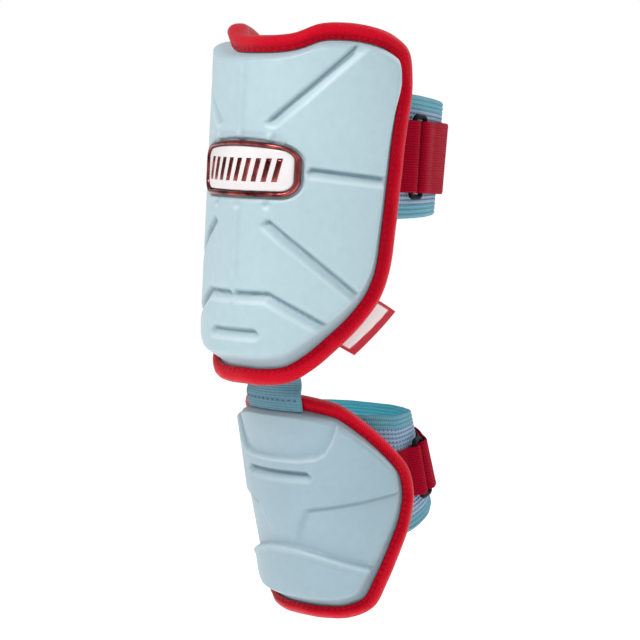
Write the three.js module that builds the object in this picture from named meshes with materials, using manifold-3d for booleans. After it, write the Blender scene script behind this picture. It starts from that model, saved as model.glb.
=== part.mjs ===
// A batter's elbow guard: two moulded foam shells that arch round the outside of the arm, one above
// the elbow and one below it, joined by a short elastic link. Each shell is lined, bound round its
// edge with folded tape, and held by a wide elastic band that a webbing strap and ring tighten.
// Millimetres. +Z runs up the arm, the shells face -Y, and the origin is on the arm's axis.
import * as THREE from "three";
import { mergeVertices } from "three/addons/utils/BufferGeometryUtils.js";
import Module from "manifold-3d";

const wasm = await Module();
wasm.setup();

// Sizes that both guards share
const clearance = 0.3;
const flangeThickness = 1.8;
const liningThickness = 2.8;
const tapeThickness = 1.3;
const bevelFootGap = 0.6;
const webThickness = 1.2;
const bandThickness = 2.4;
const ringWire = 2.4;

// The upper guard. halfGirth runs round the arch from its ridge to the edge of the tape.
const upper = {
  height: 163,
  halfGirth: 74,
  foot: -97,
  noseRadius: 40,
  noseAngle: 38,
  flankRadius: 58,
  ridge: -47,
  lean: 4,
  bodyThickness: 11,
  bevelWidth: 5,
  tapeCover: 7.8,
  cells: 16,
  // The right half of the outline from top to bottom, as shares of halfGirth and height.
  outline: [
    { across: 0.0, up: 0.966 },
    { across: 0.23, up: 0.972 },
    { across: 0.392, up: 0.997 },
    { across: 0.54, up: 1.0 },
    { across: 0.703, up: 0.99 },
    { across: 0.851, up: 0.966 },
    { across: 0.96, up: 0.924 },
    { across: 1.0, up: 0.838 },
    { across: 0.966, up: 0.656 },
    { across: 0.932, up: 0.442 },
    { across: 0.899, up: 0.307 },
    { across: 0.838, up: 0.233 },
    { across: 0.73, up: 0.166 },
    { across: 0.595, up: 0.104 },
    { across: 0.459, up: 0.049 },
    { across: 0.324, up: 0.012 },
    { across: 0.162, up: 0.0 },
    { across: 0.0, up: 0.0 },
  ],
  // Where the outline's two corners lie, as shares of half its length.
  corners: [0.34, 0.72],
};

// The lower guard hangs linkGap below the upper one and leans the other way, as a bent arm does.
const linkGap = 6;
const lowerHeight = 107;
const lower = {
  height: lowerHeight,
  halfGirth: 61,
  foot: upper.foot - linkGap - lowerHeight,
  noseRadius: 41,
  noseAngle: 38,
  flankRadius: 46,
  ridge: -24,
  lean: -10,
  bodyThickness: 9.5,
  bevelWidth: 4.5,
  tapeCover: 6.4,
  cells: 12,
  outline: [
    { across: 0.0, up: 1.0 },
    { across: 0.2, up: 0.998 },
    { across: 0.36, up: 0.984 },
    { across: 0.52, up: 0.958 },
    { across: 0.68, up: 0.888 },
    { across: 0.86, up: 0.78 },
    { across: 0.978, up: 0.68 },
    { across: 1.0, up: 0.57 },
    { across: 0.942, up: 0.44 },
    { across: 0.84, up: 0.318 },
    { across: 0.7, up: 0.168 },
    { across: 0.58, up: 0.062 },
    { across: 0.4, up: 0.012 },
    { across: 0.2, up: 0.0 },
    { across: 0.0, up: 0.0 },
  ],
  corners: [0.36, 0.78],
};

// Elastic bands: reach is how far the band goes back past the flank's edge, flare how much more
// it reaches at its lower edge than at its middle, taper how much narrower it is behind the arm,
// and heart the height of its middle as a share of the guard.
const upperBand = { width: 58, reach: 60, flare: -0.06, taper: 0.88, heart: 0.632, hold: 14 };
const lowerBand = { width: 59, reach: 34, flare: 0.2, taper: 0.72, heart: 0.63, hold: 24 };

// Straps: width of the webbing, distance from the flank's edge to the ring's first bar, the
// ring's two bars apart, and the lengths of the strap's outer and sewn layers past the ring.
const upperStrap = { width: 33, ringAt: 9, barsApart: 7.5, freeEnd: 70, sewnEnd: 84, bulge: 0 };
const lowerStrap = { width: 23, ringAt: 4.5, barsApart: 7.5, freeEnd: 44, sewnEnd: 56, bulge: 0.4 };
const ringOverhang = 3;

// The elastic link between the two guards
const link = { width: 36, thickness: 2.2, sewnUp: 24, swingIn: 9 };

// The badge on the upper guard's nose, its rim and the pocket that they sit in
// drop is how far the top edge comes down towards the badge's ends.
const badge = {
  width: 46,
  height: 20,
  drop: 2.6,
  corner: 4.8,
  plate: 1.6,
  rimWidth: 2.2,
  rimRise: 0.6,
  heart: 0.601,
};
const pocketDepth = 1.9;

// The woven label under the tape: start and end as shares of half the outline's length, and how
// far it stands out past the tape at each
const label = { from: 0.705, to: 0.81, reach: 17, lowReach: 10.5, tuck: 3, thickness: 1.1 };

// Moulded grooves of the upper shell, as shares of halfGirth and height
const upperGrooves = [
  { path: [[0.176, 0.73], [0.64, 0.95]], width: 5, depth: 2.2, bothSides: true },
  { path: [[0.395, 0.597], [0.77, 0.568]], width: 5, depth: 2.2, bothSides: true },
  { path: [[0.189, 0.452], [0.66, 0.252]], width: 5, depth: 2.2, bothSides: true },
  { path: [[0.03, 0.255], [0.203, 0.255], [0.52, 0.163]], width: 6, depth: 2.4, bothSides: true },
  { path: [[-0.142, 0.151], [0.142, 0.151]], width: 6, depth: 2.4, bothSides: false },
];
const lowerGrooves = [
  { path: [[-0.235, 0.66], [0.235, 0.66]], width: 4.6, depth: 2, bothSides: false },
];

// Moulded pockets of the lower shell: at each share of halfGirth the pocket runs from low to
// high (shares of height), and its floor lies dropLow and dropHigh below the shell's face.
const lowerPockets = [
  {
    name: "cup",
    bothSides: false,
    rows: [
      { across: -0.485, low: 0.915, high: 1.1, dropLow: 2.6, dropHigh: 2.6 },
      { across: -0.395, low: 0.773, high: 1.1, dropLow: 2.6, dropHigh: 2.6 },
      { across: -0.255, low: 0.718, high: 1.1, dropLow: 2.6, dropHigh: 2.6 },
      { across: 0.0, low: 0.708, high: 1.1, dropLow: 2.6, dropHigh: 2.6 },
      { across: 0.255, low: 0.718, high: 1.1, dropLow: 2.6, dropHigh: 2.6 },
      { across: 0.395, low: 0.773, high: 1.1, dropLow: 2.6, dropHigh: 2.6 },
      { across: 0.485, low: 0.915, high: 1.1, dropLow: 2.6, dropHigh: 2.6 },
    ],
  },
  {
    name: "brow",
    bothSides: false,
    rows: [
      { across: -0.2, low: 0.338, high: 0.56, dropLow: 2.1, dropHigh: -0.4 },
      { across: 0.0, low: 0.346, high: 0.56, dropLow: 2.1, dropHigh: -0.4 },
      { across: 0.2, low: 0.338, high: 0.56, dropLow: 2.1, dropHigh: -0.4 },
    ],
  },
  {
    name: "cheek",
    bothSides: true,
    rows: [
      { across: 0.14, low: 0.338, high: 0.36, dropLow: 2.6, dropHigh: 2.4 },
      { across: 0.215, low: 0.331, high: 0.508, dropLow: 2.6, dropHigh: 0.9 },
      { across: 0.4, low: 0.276, high: 0.535, dropLow: 2.6, dropHigh: 0.9 },
      { across: 0.6, low: 0.236, high: 0.568, dropLow: 2.6, dropHigh: 0.9 },
      { across: 0.82, low: 0.206, high: 0.6, dropLow: 2.6, dropHigh: 0.9 },
    ],
  },
];
const pocketHeadroom = 8;

const paint = {
  foam: { color: 0xbdd3dc, roughness: 0.55, metalness: 0 },
  lining: { color: 0xcfd2d8, roughness: 0.95, metalness: 0 },
  tape: { color: 0xc4061f, roughness: 0.75, metalness: 0 },
  webbing: { color: 0xa80d26, roughness: 0.85, metalness: 0 },
  elastic: { color: 0x78afc6, roughness: 0.9, metalness: 0 },
  ring: { color: 0x16161a, roughness: 0.4, metalness: 0 },
  plate: { color: 0xf4f0f1, roughness: 0.35, metalness: 0 },
  rim: { color: 0x5a1518, roughness: 0.25, metalness: 0.8 },
};

const radians = THREE.MathUtils.degToRad;
const lerp = THREE.MathUtils.lerp;

// How far the guard's ridge is set back at height z.
function ridgeAt(guard, z) {
  const middle = guard.foot + guard.height / 2;
  const shift = guard === upper ? z : z - middle;
  return guard.ridge + Math.tan(radians(guard.lean)) * shift;
}

// The arch in plan, measured from the ridge: a nose arc and then a wider flank arc.
function archPlan(guard, across, lift) {
  const noseTurn = radians(guard.noseAngle);
  const noseRun = guard.noseRadius * noseTurn;
  const run = Math.abs(across);
  const onNose = Math.min(run, noseRun) / guard.noseRadius;
  const turn = onNose + Math.max(0, run - noseRun) / guard.flankRadius;
  const wide =
    guard.noseRadius * Math.sin(onNose) + guard.flankRadius * (Math.sin(turn) - Math.sin(onNose));
  const deep =
    guard.noseRadius * (1 - Math.cos(onNose)) + guard.flankRadius * (Math.cos(onNose) - Math.cos(turn));
  const side = across < 0 ? -1 : 1;
  return { x: side * (wide + lift * Math.sin(turn)), y: deep - lift * Math.cos(turn) };
}

function place(guard, plan, z) {
  return new THREE.Vector3(plan.x, ridgeAt(guard, z) + plan.y, z);
}

// A point on the guard: across is measured round the arch, lift outwards from the lining's face.
function archPoint(guard, across, z, lift) {
  return place(guard, archPlan(guard, across, lift), z);
}

// The outline as a closed curve in the flat (across, z) plane, clockwise from the top centre.
function outlineCurve(guard) {
  const right = guard.outline.map(
    ({ across, up }) => new THREE.Vector3(across * guard.halfGirth, guard.foot + up * guard.height, 0),
  );
  const left = right.slice(1, -1).reverse().map((p) => new THREE.Vector3(-p.x, p.y, 0));
  const curve = new THREE.CatmullRomCurve3([...right, ...left], true, "centripetal");
  curve.arcLengthDivisions = 800;
  return curve;
}

// A point inset from a flat closed curve that runs clockwise.
function insetPoint(curve, u, inset) {
  const wrapped = ((u % 1) + 1) % 1;
  const p = curve.getPointAt(wrapped);
  const t = curve.getTangentAt(wrapped);
  return new THREE.Vector2(p.x + t.y * inset, p.y - t.x * inset);
}

// Positions round a square of side 2, from 0 at its top centre to 8, as positions on the curve.
function curveShare(corners, q) {
  if (q > 4) return 1 - curveShare(corners, 8 - q);
  const [first, second] = corners.map((share) => share / 2);
  if (q <= 1) return first * q;
  if (q <= 3) return lerp(first, second, (q - 1) / 2);
  return lerp(second, 0.5, q - 3);
}

// Where a cell corner of a square grid lies: its ring, and its position round the square.
function squarePlace(i, j, cells) {
  const half = cells / 2;
  const [a, b] = [i - half, j - half];
  const ring = Math.max(Math.abs(a), Math.abs(b));
  if (ring === 0) return { ring, q: 0 };
  if (b === ring) return { ring, q: (a / ring + 8) % 8 };
  if (a === ring) return { ring, q: 2 - b / ring };
  if (b === -ring) return { ring, q: 4 - a / ring };
  return { ring, q: 6 + b / ring };
}

// A grid of flat points whose outer rings follow the curve at the given insets (outermost first)
// and whose inner rings shrink to the centre.
function flatGrid(curve, corners, cells, insets, centre) {
  const half = cells / 2;
  const innerRing = half - insets.length + 1;
  const rows = [];
  for (let j = 0; j <= cells; j++) {
    const row = [];
    for (let i = 0; i <= cells; i++) {
      const { ring, q } = squarePlace(i, j, cells);
      const fromEdge = half - ring;
      const inset = insets[Math.min(fromEdge, insets.length - 1)];
      const edge = insetPoint(curve, curveShare(corners, q), inset);
      const share = Math.min(1, ring / innerRing);
      row.push({ flat: centre.clone().lerp(edge, share), fromEdge });
    }
    rows.push(row);
  }
  return rows;
}

function geometryFrom(points, triangles) {
  const geometry = new THREE.BufferGeometry();
  geometry.setAttribute("position", new THREE.Float32BufferAttribute(points.flatMap((p) => p.toArray()), 3));
  geometry.setIndex(triangles.flat());
  return facingOut(geometry);
}

// Turns every face round if the closed mesh has a negative volume.
function facingOut(geometry) {
  const position = geometry.getAttribute("position");
  const index = geometry.getIndex();
  const [a, b, c] = [new THREE.Vector3(), new THREE.Vector3(), new THREE.Vector3()];
  let sixVolumes = 0;
  for (let i = 0; i < index.count; i += 3) {
    a.fromBufferAttribute(position, index.getX(i));
    b.fromBufferAttribute(position, index.getX(i + 1));
    c.fromBufferAttribute(position, index.getX(i + 2));
    sixVolumes += a.dot(b.cross(c));
  }
  if (sixVolumes < 0) index.array.reverse();
  geometry.computeVertexNormals();
  return geometry;
}

// A closed sheet between two grids of the same size.
function sheetBetween(outer, inner) {
  const size = outer.length;
  const points = [...outer.flat(), ...inner.flat()];
  const at = (side, j, i) => side * size * size + j * size + i;
  const triangles = [];
  const quad = (a, b, c, d) => triangles.push([a, b, c], [a, c, d]);
  for (let j = 0; j < size - 1; j++)
    for (let i = 0; i < size - 1; i++) {
      quad(at(0, j, i), at(0, j, i + 1), at(0, j + 1, i + 1), at(0, j + 1, i));
      quad(at(1, j, i), at(1, j + 1, i), at(1, j + 1, i + 1), at(1, j, i + 1));
    }
  for (let i = 0; i < size - 1; i++) {
    quad(at(1, 0, i), at(1, 0, i + 1), at(0, 0, i + 1), at(0, 0, i));
    quad(at(0, size - 1, i), at(0, size - 1, i + 1), at(1, size - 1, i + 1), at(1, size - 1, i));
    quad(at(0, i, 0), at(0, i + 1, 0), at(1, i + 1, 0), at(1, i, 0));
    quad(at(1, i, size - 1), at(1, i + 1, size - 1), at(0, i + 1, size - 1), at(0, i, size - 1));
  }
  return geometryFrom(points, triangles);
}

// A solid skinned through sections with equal numbers of points, closed on itself or capped.
function loft(sections, closed = false) {
  const count = sections[0].length;
  const points = sections.flat();
  const triangles = [];
  const spans = closed ? sections.length : sections.length - 1;
  for (let k = 0; k < spans; k++) {
    const next = (k + 1) % sections.length;
    for (let i = 0; i < count; i++) {
      const j = (i + 1) % count;
      const [a, b, c, d] = [k * count + i, k * count + j, next * count + j, next * count + i];
      triangles.push([a, b, c], [a, c, d]);
    }
  }
  const last = (sections.length - 1) * count;
  for (let i = 1; !closed && i < count - 1; i++) {
    triangles.push([0, i + 1, i], [last, last + i, last + i + 1]);
  }
  return geometryFrom(points, triangles);
}

function solidOf(geometry) {
  const bare = geometry.clone();
  bare.deleteAttribute("normal");
  const merged = mergeVertices(bare, 1e-4);
  const mesh = new wasm.Mesh({
    numProp: 3,
    vertProperties: merged.attributes.position.array,
    triVerts: new Uint32Array(merged.index.array),
  });
  return new wasm.Manifold(mesh);
}

function geometryOf(solid) {
  const mesh = solid.getMesh();
  const geometry = new THREE.BufferGeometry();
  geometry.setAttribute("position", new THREE.BufferAttribute(new Float32Array(mesh.vertProperties), 3));
  geometry.setIndex(new THREE.BufferAttribute(new Uint32Array(mesh.triVerts), 1));
  geometry.computeVertexNormals();
  return geometry;
}

function cutFrom(geometry, cutters) {
  let solid = solidOf(geometry);
  for (const cutter of cutters) solid = solid.subtract(solidOf(cutter));
  return geometryOf(solid);
}

function heightAt(guard, up) {
  return guard.foot + up * guard.height;
}

function guardCentre(guard) {
  return new THREE.Vector2(0, heightAt(guard, 0.5));
}

const edgeInset = tapeThickness + clearance;
const bevelFoot = (guard) => guard.tapeCover + bevelFootGap;

// The moulded shell without its relief: a flange under the tape, a bevel, and the raised body.
function plainShell(guard) {
  const insets = [edgeInset, bevelFoot(guard), bevelFoot(guard) + guard.bevelWidth];
  const lifts = [flangeThickness, flangeThickness, guard.bodyThickness];
  const flat = flatGrid(outlineCurve(guard), guard.corners, guard.cells, insets, guardCentre(guard));
  const side = (liftOf) =>
    flat.map((row) => row.map((p) => archPoint(guard, p.flat.x, p.flat.y, liftOf(p.fromEdge))));
  return sheetBetween(
    side((fromEdge) => lifts[Math.min(fromEdge, 2)]),
    side(() => clearance / 2),
  );
}

function lining(guard) {
  const insets = [edgeInset, bevelFoot(guard), bevelFoot(guard) + guard.bevelWidth];
  const flat = flatGrid(outlineCurve(guard), guard.corners, guard.cells, insets, guardCentre(guard));
  const side = (lift) => flat.map((row) => row.map((p) => archPoint(guard, p.flat.x, p.flat.y, lift)));
  return sheetBetween(side(-clearance / 2), side(-liningThickness));
}

// Tape folded over the edges of the shell and the lining: a channel that follows the outline.
const tapeSlack = 0.6;
const tapeFront = flangeThickness + tapeSlack;
const tapeBack = -liningThickness - tapeSlack;
function tape(guard) {
  const { tapeCover } = guard;
  const section = [
    { inset: tapeCover, lift: tapeFront },
    { inset: tapeCover * 0.94, lift: tapeFront + tapeThickness * 0.8 },
    { inset: tapeCover * 0.45, lift: tapeFront + tapeThickness * 1.5 },
    { inset: tapeThickness * 0.2, lift: tapeFront - tapeThickness * 0.4 },
    { inset: tapeThickness * 0.2, lift: tapeBack + tapeThickness * 0.4 },
    { inset: tapeCover * 0.4, lift: tapeBack - tapeThickness },
    { inset: tapeCover, lift: tapeBack - tapeThickness },
    { inset: tapeCover, lift: tapeBack },
    { inset: tapeThickness, lift: tapeBack },
    { inset: tapeThickness, lift: tapeFront },
  ];
  const curve = outlineCurve(guard);
  const stations = guard.cells * 4;
  const sections = [];
  for (let k = 0; k < stations; k++) {
    const u = curveShare(guard.corners, (8 * k) / stations);
    sections.push(
      section.map(({ inset, lift }) => {
        const p = insetPoint(curve, u, inset);
        return archPoint(guard, p.x, p.y, lift);
      }),
    );
  }
  return loft(sections, true);
}

// A V-shaped cutter with a narrow floor along a path of shares on the guard's face.
function grooveCutter(guard, groove, side) {
  const corners = groove.path.map(
    ([across, up]) => new THREE.Vector2(side * across * guard.halfGirth, heightAt(guard, up)),
  );
  const headroom = 1.5;
  const floorShare = 0.25;
  const face = guard.bodyThickness;
  const stations = [];
  corners.slice(1).forEach((end, k) => {
    const start = corners[k];
    const steps = Math.max(2, Math.round(start.distanceTo(end) / 7));
    for (let i = k ? 1 : 0; i <= steps; i++) stations.push(start.clone().lerp(end, i / steps));
  });
  const sections = stations.map((p, k) => {
    const before = stations[Math.max(0, k - 1)];
    const after = stations[Math.min(stations.length - 1, k + 1)];
    const along = after.clone().sub(before).normalize();
    const aside = new THREE.Vector2(-along.y, along.x).multiplyScalar(groove.width / 2);
    const widen = 1 + headroom / groove.depth;
    return [
      [widen, face + headroom],
      [-widen, face + headroom],
      [-floorShare, face - groove.depth],
      [floorShare, face - groove.depth],
    ].map(([out, lift]) => archPoint(guard, p.x + out * aside.x, p.y + out * aside.y, lift));
  });
  return loft(sections);
}

function pocketCutter(guard, pocket, side) {
  const face = guard.bodyThickness;
  const sections = pocket.rows.map((row) => {
    const across = side * row.across * guard.halfGirth;
    const [low, high] = [heightAt(guard, row.low), heightAt(guard, row.high)];
    return [
      archPoint(guard, across, low, face - row.dropLow),
      archPoint(guard, across, high, face - row.dropHigh),
      archPoint(guard, across, high, face + pocketHeadroom),
      archPoint(guard, across, low, face + pocketHeadroom),
    ];
  });
  return loft(sections);
}

function reliefCutters(guard, rows, cutter) {
  return rows.flatMap((row) =>
    (row.bothSides ? [1, -1] : [1]).map((side) => cutter(guard, row, side)),
  );
}

// The badge's outline in the flat plane, grown by an offset: a rectangle with round corners.
function badgeCurve(offset) {
  const [halfWidth, halfHeight] = [badge.width / 2 + offset, badge.height / 2 + offset];
  const corner = badge.corner + offset;
  const shape = new THREE.Shape();
  shape.moveTo(0, halfHeight);
  shape.lineTo(halfWidth - corner, halfHeight);
  shape.absarc(halfWidth - corner, halfHeight - corner, corner, Math.PI / 2, 0, true);
  shape.lineTo(halfWidth, corner - halfHeight);
  shape.absarc(halfWidth - corner, corner - halfHeight, corner, 0, -Math.PI / 2, true);
  shape.lineTo(corner - halfWidth, -halfHeight);
  shape.absarc(corner - halfWidth, corner - halfHeight, corner, -Math.PI / 2, -Math.PI, true);
  shape.lineTo(-halfWidth, halfHeight - corner);
  shape.absarc(corner - halfWidth, halfHeight - corner, corner, Math.PI, Math.PI / 2, true);
  shape.lineTo(0, halfHeight);
  return shape;
}

// A point of the flat badge on the nose, its upper half lower towards the ends.
function badgePoint(p, lift) {
  const droop = badge.drop * Math.max(p.y / (badge.height / 2), 0) * (p.x / (badge.width / 2)) ** 2;
  return archPoint(upper, p.x, heightAt(upper, badge.heart) + p.y - droop, lift);
}

// The plate, the rim and the pocket share their stations, so that their facets lie parallel.
const badgeCells = 10;
const badgeCorners = [0.34, 0.66];
function badgeSlab(offset, liftLow, liftHigh) {
  const curve = badgeCurve(offset);
  const flat = flatGrid(curve, badgeCorners, badgeCells, [0], new THREE.Vector2(0, 0));
  const side = (lift) => flat.map((row) => row.map((p) => badgePoint(p.flat, lift)));
  return sheetBetween(side(liftHigh), side(liftLow));
}

const pocketFloor = upper.bodyThickness - pocketDepth;
const plateFoot = pocketFloor + clearance * 1.5;
function badgePlate() {
  return badgeSlab(0, plateFoot, plateFoot + badge.plate);
}

function badgeRim() {
  const stations = badgeCells * 4;
  const inner = badgeCurve(clearance);
  const outer = badgeCurve(clearance + badge.rimWidth);
  const top = plateFoot + badge.plate + badge.rimRise;
  const sections = [];
  for (let k = 0; k < stations; k++) {
    const u = curveShare(badgeCorners, (8 * k) / stations);
    const [a, b] = [inner.getPointAt(u), outer.getPointAt(u)];
    const crest = a.clone().lerp(b, 0.5);
    sections.push([
      badgePoint(a, plateFoot),
      badgePoint(a, top - badge.rimRise * 0.6),
      badgePoint(crest, top),
      badgePoint(b, top - badge.rimRise * 0.6),
      badgePoint(b, plateFoot),
    ]);
  }
  return loft(sections, true);
}

// How far round the arch the tape's edge lies at the height of a band.
function flankEdge(guard, up) {
  const z = heightAt(guard, up);
  const curve = outlineCurve(guard);
  let [low, high] = [guard.corners[0] / 2, 0.5];
  for (let i = 0; i < 30; i++) {
    const middle = (low + high) / 2;
    if (curve.getPointAt(middle).y > z) low = middle;
    else high = middle;
  }
  return curve.getPointAt(low).x;
}

const bandLift = tapeBack - tapeThickness - clearance - webThickness - clearance - bandThickness / 2;
const turnSteps = 9;

// The band's path in plan: along the inside of one flank, round behind the arm and back.
function bandPath(guard, band) {
  const edge = flankEdge(guard, band.heart);
  const held = [edge - band.hold, edge - band.hold / 2, edge].map((across) => archPlan(guard, across, bandLift));
  const turn = held[2];
  const behind = [];
  for (let k = 1; k <= turnSteps; k++) {
    const angle = (Math.PI * k) / (turnSteps + 1);
    behind.push({ x: turn.x * Math.cos(angle), y: turn.y + band.reach * Math.sin(angle) });
  }
  const mirrored = [...held].reverse().map((p) => ({ x: -p.x, y: p.y }));
  const points = [...held, ...behind, ...mirrored].map((p) => new THREE.Vector3(p.x, p.y, 0));
  const curve = new THREE.CatmullRomCurve3(points, false, "centripetal");
  curve.arcLengthDivisions = 400;
  return curve;
}

// A plan point at a distance along the path, set off outwards from the arm.
function alongPath(path, distance, offset) {
  const u = THREE.MathUtils.clamp(distance / path.getLength(), 0, 1);
  const p = path.getPointAt(u);
  const t = path.getTangentAt(u);
  return { x: p.x + t.y * offset, y: p.y - t.x * offset };
}

// A point of the band or of what lies on it. Behind the flanks the band leans back by the flare
// and lies square to the leaning arm.
function bandPoint(guard, band, plan, z) {
  const p = place(guard, plan, z);
  const middle = heightAt(guard, band.heart);
  const turn = archPlan(guard, flankEdge(guard, band.heart), bandLift);
  const behind = Math.max(0, plan.y - turn.y);
  p.y -= band.flare * Math.min(1, behind / band.reach) * (z - middle);
  p.z -= Math.tan(radians(guard.lean)) * behind;
  return p;
}

// The elastic band, narrower behind the arm, with shallow ribs along it.
const bandRibs = [
  { share: 0.5, depth: 0.55 },
  { share: 0.42, depth: 1 },
  { share: 0.3, depth: 0.62 },
  { share: -0.3, depth: 0.62 },
  { share: -0.42, depth: 1 },
  { share: -0.5, depth: 0.55 },
];
function elasticBand(guard, band) {
  const path = bandPath(guard, band);
  const steps = 34;
  const sections = [];
  for (let k = 0; k <= steps; k++) {
    const u = k / steps;
    const narrow = lerp(1, band.taper, Math.sin(Math.PI * u) ** 2);
    const z = (share) => heightAt(guard, band.heart) + share * band.width * narrow;
    const rim = (rib, face) => {
      const offset = (face * rib.depth * bandThickness) / 2;
      return bandPoint(guard, band, alongPath(path, u * path.getLength(), offset), z(rib.share));
    };
    sections.push([
      ...bandRibs.map((rib) => rim(rib, 1)),
      ...[...bandRibs].reverse().map((rib) => rim(rib, -1)),
    ]);
  }
  return loft(sections);
}

// Offsets of the strap's parts from the middle of the band
const underLayer = bandThickness / 2 + clearance + webThickness / 2;
const foldRadius = ringWire / 2 + clearance + webThickness / 2;
const ringOffset = underLayer + foldRadius;
const overLayer = ringOffset + foldRadius;

// A flat strip of webbing along a list of distances and offsets from the band's path.
function webStrip(guard, band, strap, stops) {
  const path = bandPath(guard, band);
  const middle = heightAt(guard, band.heart);
  const centre = stops.map(({ distance, offset }) => alongPath(path, distance, offset));
  const sections = centre.map((p, k) => {
    const before = centre[Math.max(0, k - 1)];
    const after = centre[Math.min(centre.length - 1, k + 1)];
    const run = Math.hypot(after.x - before.x, after.y - before.y);
    const [nx, ny] = [(after.y - before.y) / run, -(after.x - before.x) / run];
    const corner = (side, end) =>
      bandPoint(
        guard,
        band,
        { x: p.x + (side * nx * webThickness) / 2, y: p.y + (side * ny * webThickness) / 2 },
        middle + (end * strap.width) / 2,
      );
    return [corner(1, 1), corner(1, -1), corner(-1, -1), corner(-1, 1)];
  });
  return loft(sections);
}

function stretch(from, to, steps, offsetFrom, offsetTo) {
  const stops = [];
  for (let k = 0; k <= steps; k++) {
    const share = k / steps;
    const eased = share * share * (3 - 2 * share);
    stops.push({ distance: lerp(from, to, share), offset: lerp(offsetFrom, offsetTo, eased) });
  }
  return stops;
}

// Half a turn round one of the ring's bars, from its outside to its inside.
function foldStops(barAt, direction) {
  const steps = 6;
  const stops = [];
  for (let k = 1; k < steps; k++) {
    const angle = (Math.PI * k) / steps;
    stops.push({
      distance: barAt + direction * foldRadius * Math.sin(angle),
      offset: ringOffset + foldRadius * Math.cos(angle),
    });
  }
  return stops;
}

function nearBar(band, strap) {
  return band.hold + strap.ringAt;
}

// The short webbing that is sewn under the flank's edge and holds the ring.
function anchorWeb(guard, band, strap) {
  const bar = nearBar(band, strap);
  const sewnIn = 8;
  const tail = strap.ringAt * 0.4;
  const stops = [
    ...stretch(band.hold - sewnIn, band.hold, 2, underLayer, underLayer),
    ...stretch(band.hold, bar, 4, underLayer, overLayer).slice(1),
    ...foldStops(bar, 1),
    ...stretch(bar, bar - tail, 1, underLayer, underLayer),
  ];
  return webStrip(guard, band, strap, stops);
}

// The strap that comes forward over the band, turns round the ring and goes back over itself.
function pullStrap(guard, band, strap) {
  const bar = nearBar(band, strap) + strap.barsApart;
  const settle = 11;
  const overStrap = underLayer + webThickness + clearance;
  const outer = stretch(bar, bar + settle, 5, overLayer, overStrap).map((stop, k) => ({
    distance: stop.distance,
    offset: stop.offset + strap.bulge * Math.sin((Math.PI * k) / 5),
  }));
  const stops = [
    ...stretch(bar + strap.freeEnd, bar + settle, 10, overStrap, overStrap).slice(0, -1),
    ...outer.reverse(),
    ...foldStops(bar, -1),
    ...stretch(bar, bar + strap.sewnEnd, 14, underLayer, underLayer),
  ];
  return webStrip(guard, band, strap, stops);
}

// A flat wire loop with round ends, standing in the strap's plane.
function strapRing(guard, band, strap) {
  const path = bandPath(guard, band);
  const bar = nearBar(band, strap);
  const middle = heightAt(guard, band.heart);
  const start = alongPath(path, bar, ringOffset);
  const end = alongPath(path, bar + strap.barsApart, ringOffset);
  const centre = { x: (start.x + end.x) / 2, y: (start.y + end.y) / 2 };
  const run = Math.hypot(end.x - start.x, end.y - start.y);
  const along = { x: (end.x - start.x) / run, y: (end.y - start.y) / run };
  const halfWide = run / 2;
  const halfLong = strap.width / 2 + ringOverhang - ringWire / 2;
  const wireSides = 6;
  const corner = halfWide * 0.45;
  const bends = [
    { wide: 1, long: 1, from: 0 },
    { wide: -1, long: 1, from: 90 },
    { wide: -1, long: -1, from: 180 },
    { wide: 1, long: -1, from: 270 },
  ];
  const sections = [];
  for (const { wide, long, from } of bends)
    for (let k = 0; k <= 4; k++) {
      const angle = radians(from + (90 * k) / 4);
      const reach = (radius) => ({
        w: wide * (halfWide - corner) + radius * Math.cos(angle),
        l: long * (halfLong - corner) + radius * Math.sin(angle),
      });
      const section = [];
      for (let i = 0; i < wireSides; i++) {
        const roll = (2 * Math.PI * i) / wireSides;
        const { w, l } = reach(corner + (ringWire / 2) * Math.cos(roll));
        const out = (ringWire / 2) * Math.sin(roll);
        const plan = {
          x: centre.x + along.x * w + along.y * out,
          y: centre.y + along.y * w - along.x * out,
        };
        section.push(bandPoint(guard, band, plan, middle + l));
      }
      sections.push(section);
    }
  return loft(sections, true);
}

// The link hangs from the upper lining, swings in towards the arm and lies on the lower tape. Its
// span is measured round the arch at its own lift, so it keeps its width all the way down.
function elasticLink() {
  const sewnTop = upper.foot + link.sewnUp;
  const upperLift = -liningThickness - 2 * clearance - link.thickness / 2;
  const lowerLift = tapeFront + tapeThickness * 1.5 + clearance + link.thickness / 2;
  const lowerTop = lower.foot + lower.height;
  const rows = [
    { z: sewnTop, guard: upper, lift: upperLift },
    { z: lerp(sewnTop, upper.foot, 0.33), guard: upper, lift: upperLift - link.swingIn * 0.12 },
    { z: lerp(sewnTop, upper.foot, 0.66), guard: upper, lift: upperLift - link.swingIn * 0.55 },
    { z: upper.foot, guard: upper, lift: upperLift - link.swingIn },
    { z: lowerTop, guard: lower, lift: lowerLift },
    { z: lowerTop - lower.tapeCover * 0.5, guard: lower, lift: lowerLift },
    { z: lowerTop - lower.tapeCover - bevelFootGap, guard: lower, lift: lowerLift },
  ];
  const columns = 6;
  const sections = rows.map(({ z, guard, lift }) => {
    const span = (link.width * guard.noseRadius) / (guard.noseRadius + lift);
    const face = (side) => {
      const line = [];
      for (let i = 0; i <= columns; i++)
        line.push(archPoint(guard, lerp(-0.5, 0.5, i / columns) * span, z, lift + (side * link.thickness) / 2));
      return line;
    };
    return [...face(1), ...face(-1).reverse()];
  });
  return loft(sections);
}

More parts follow.
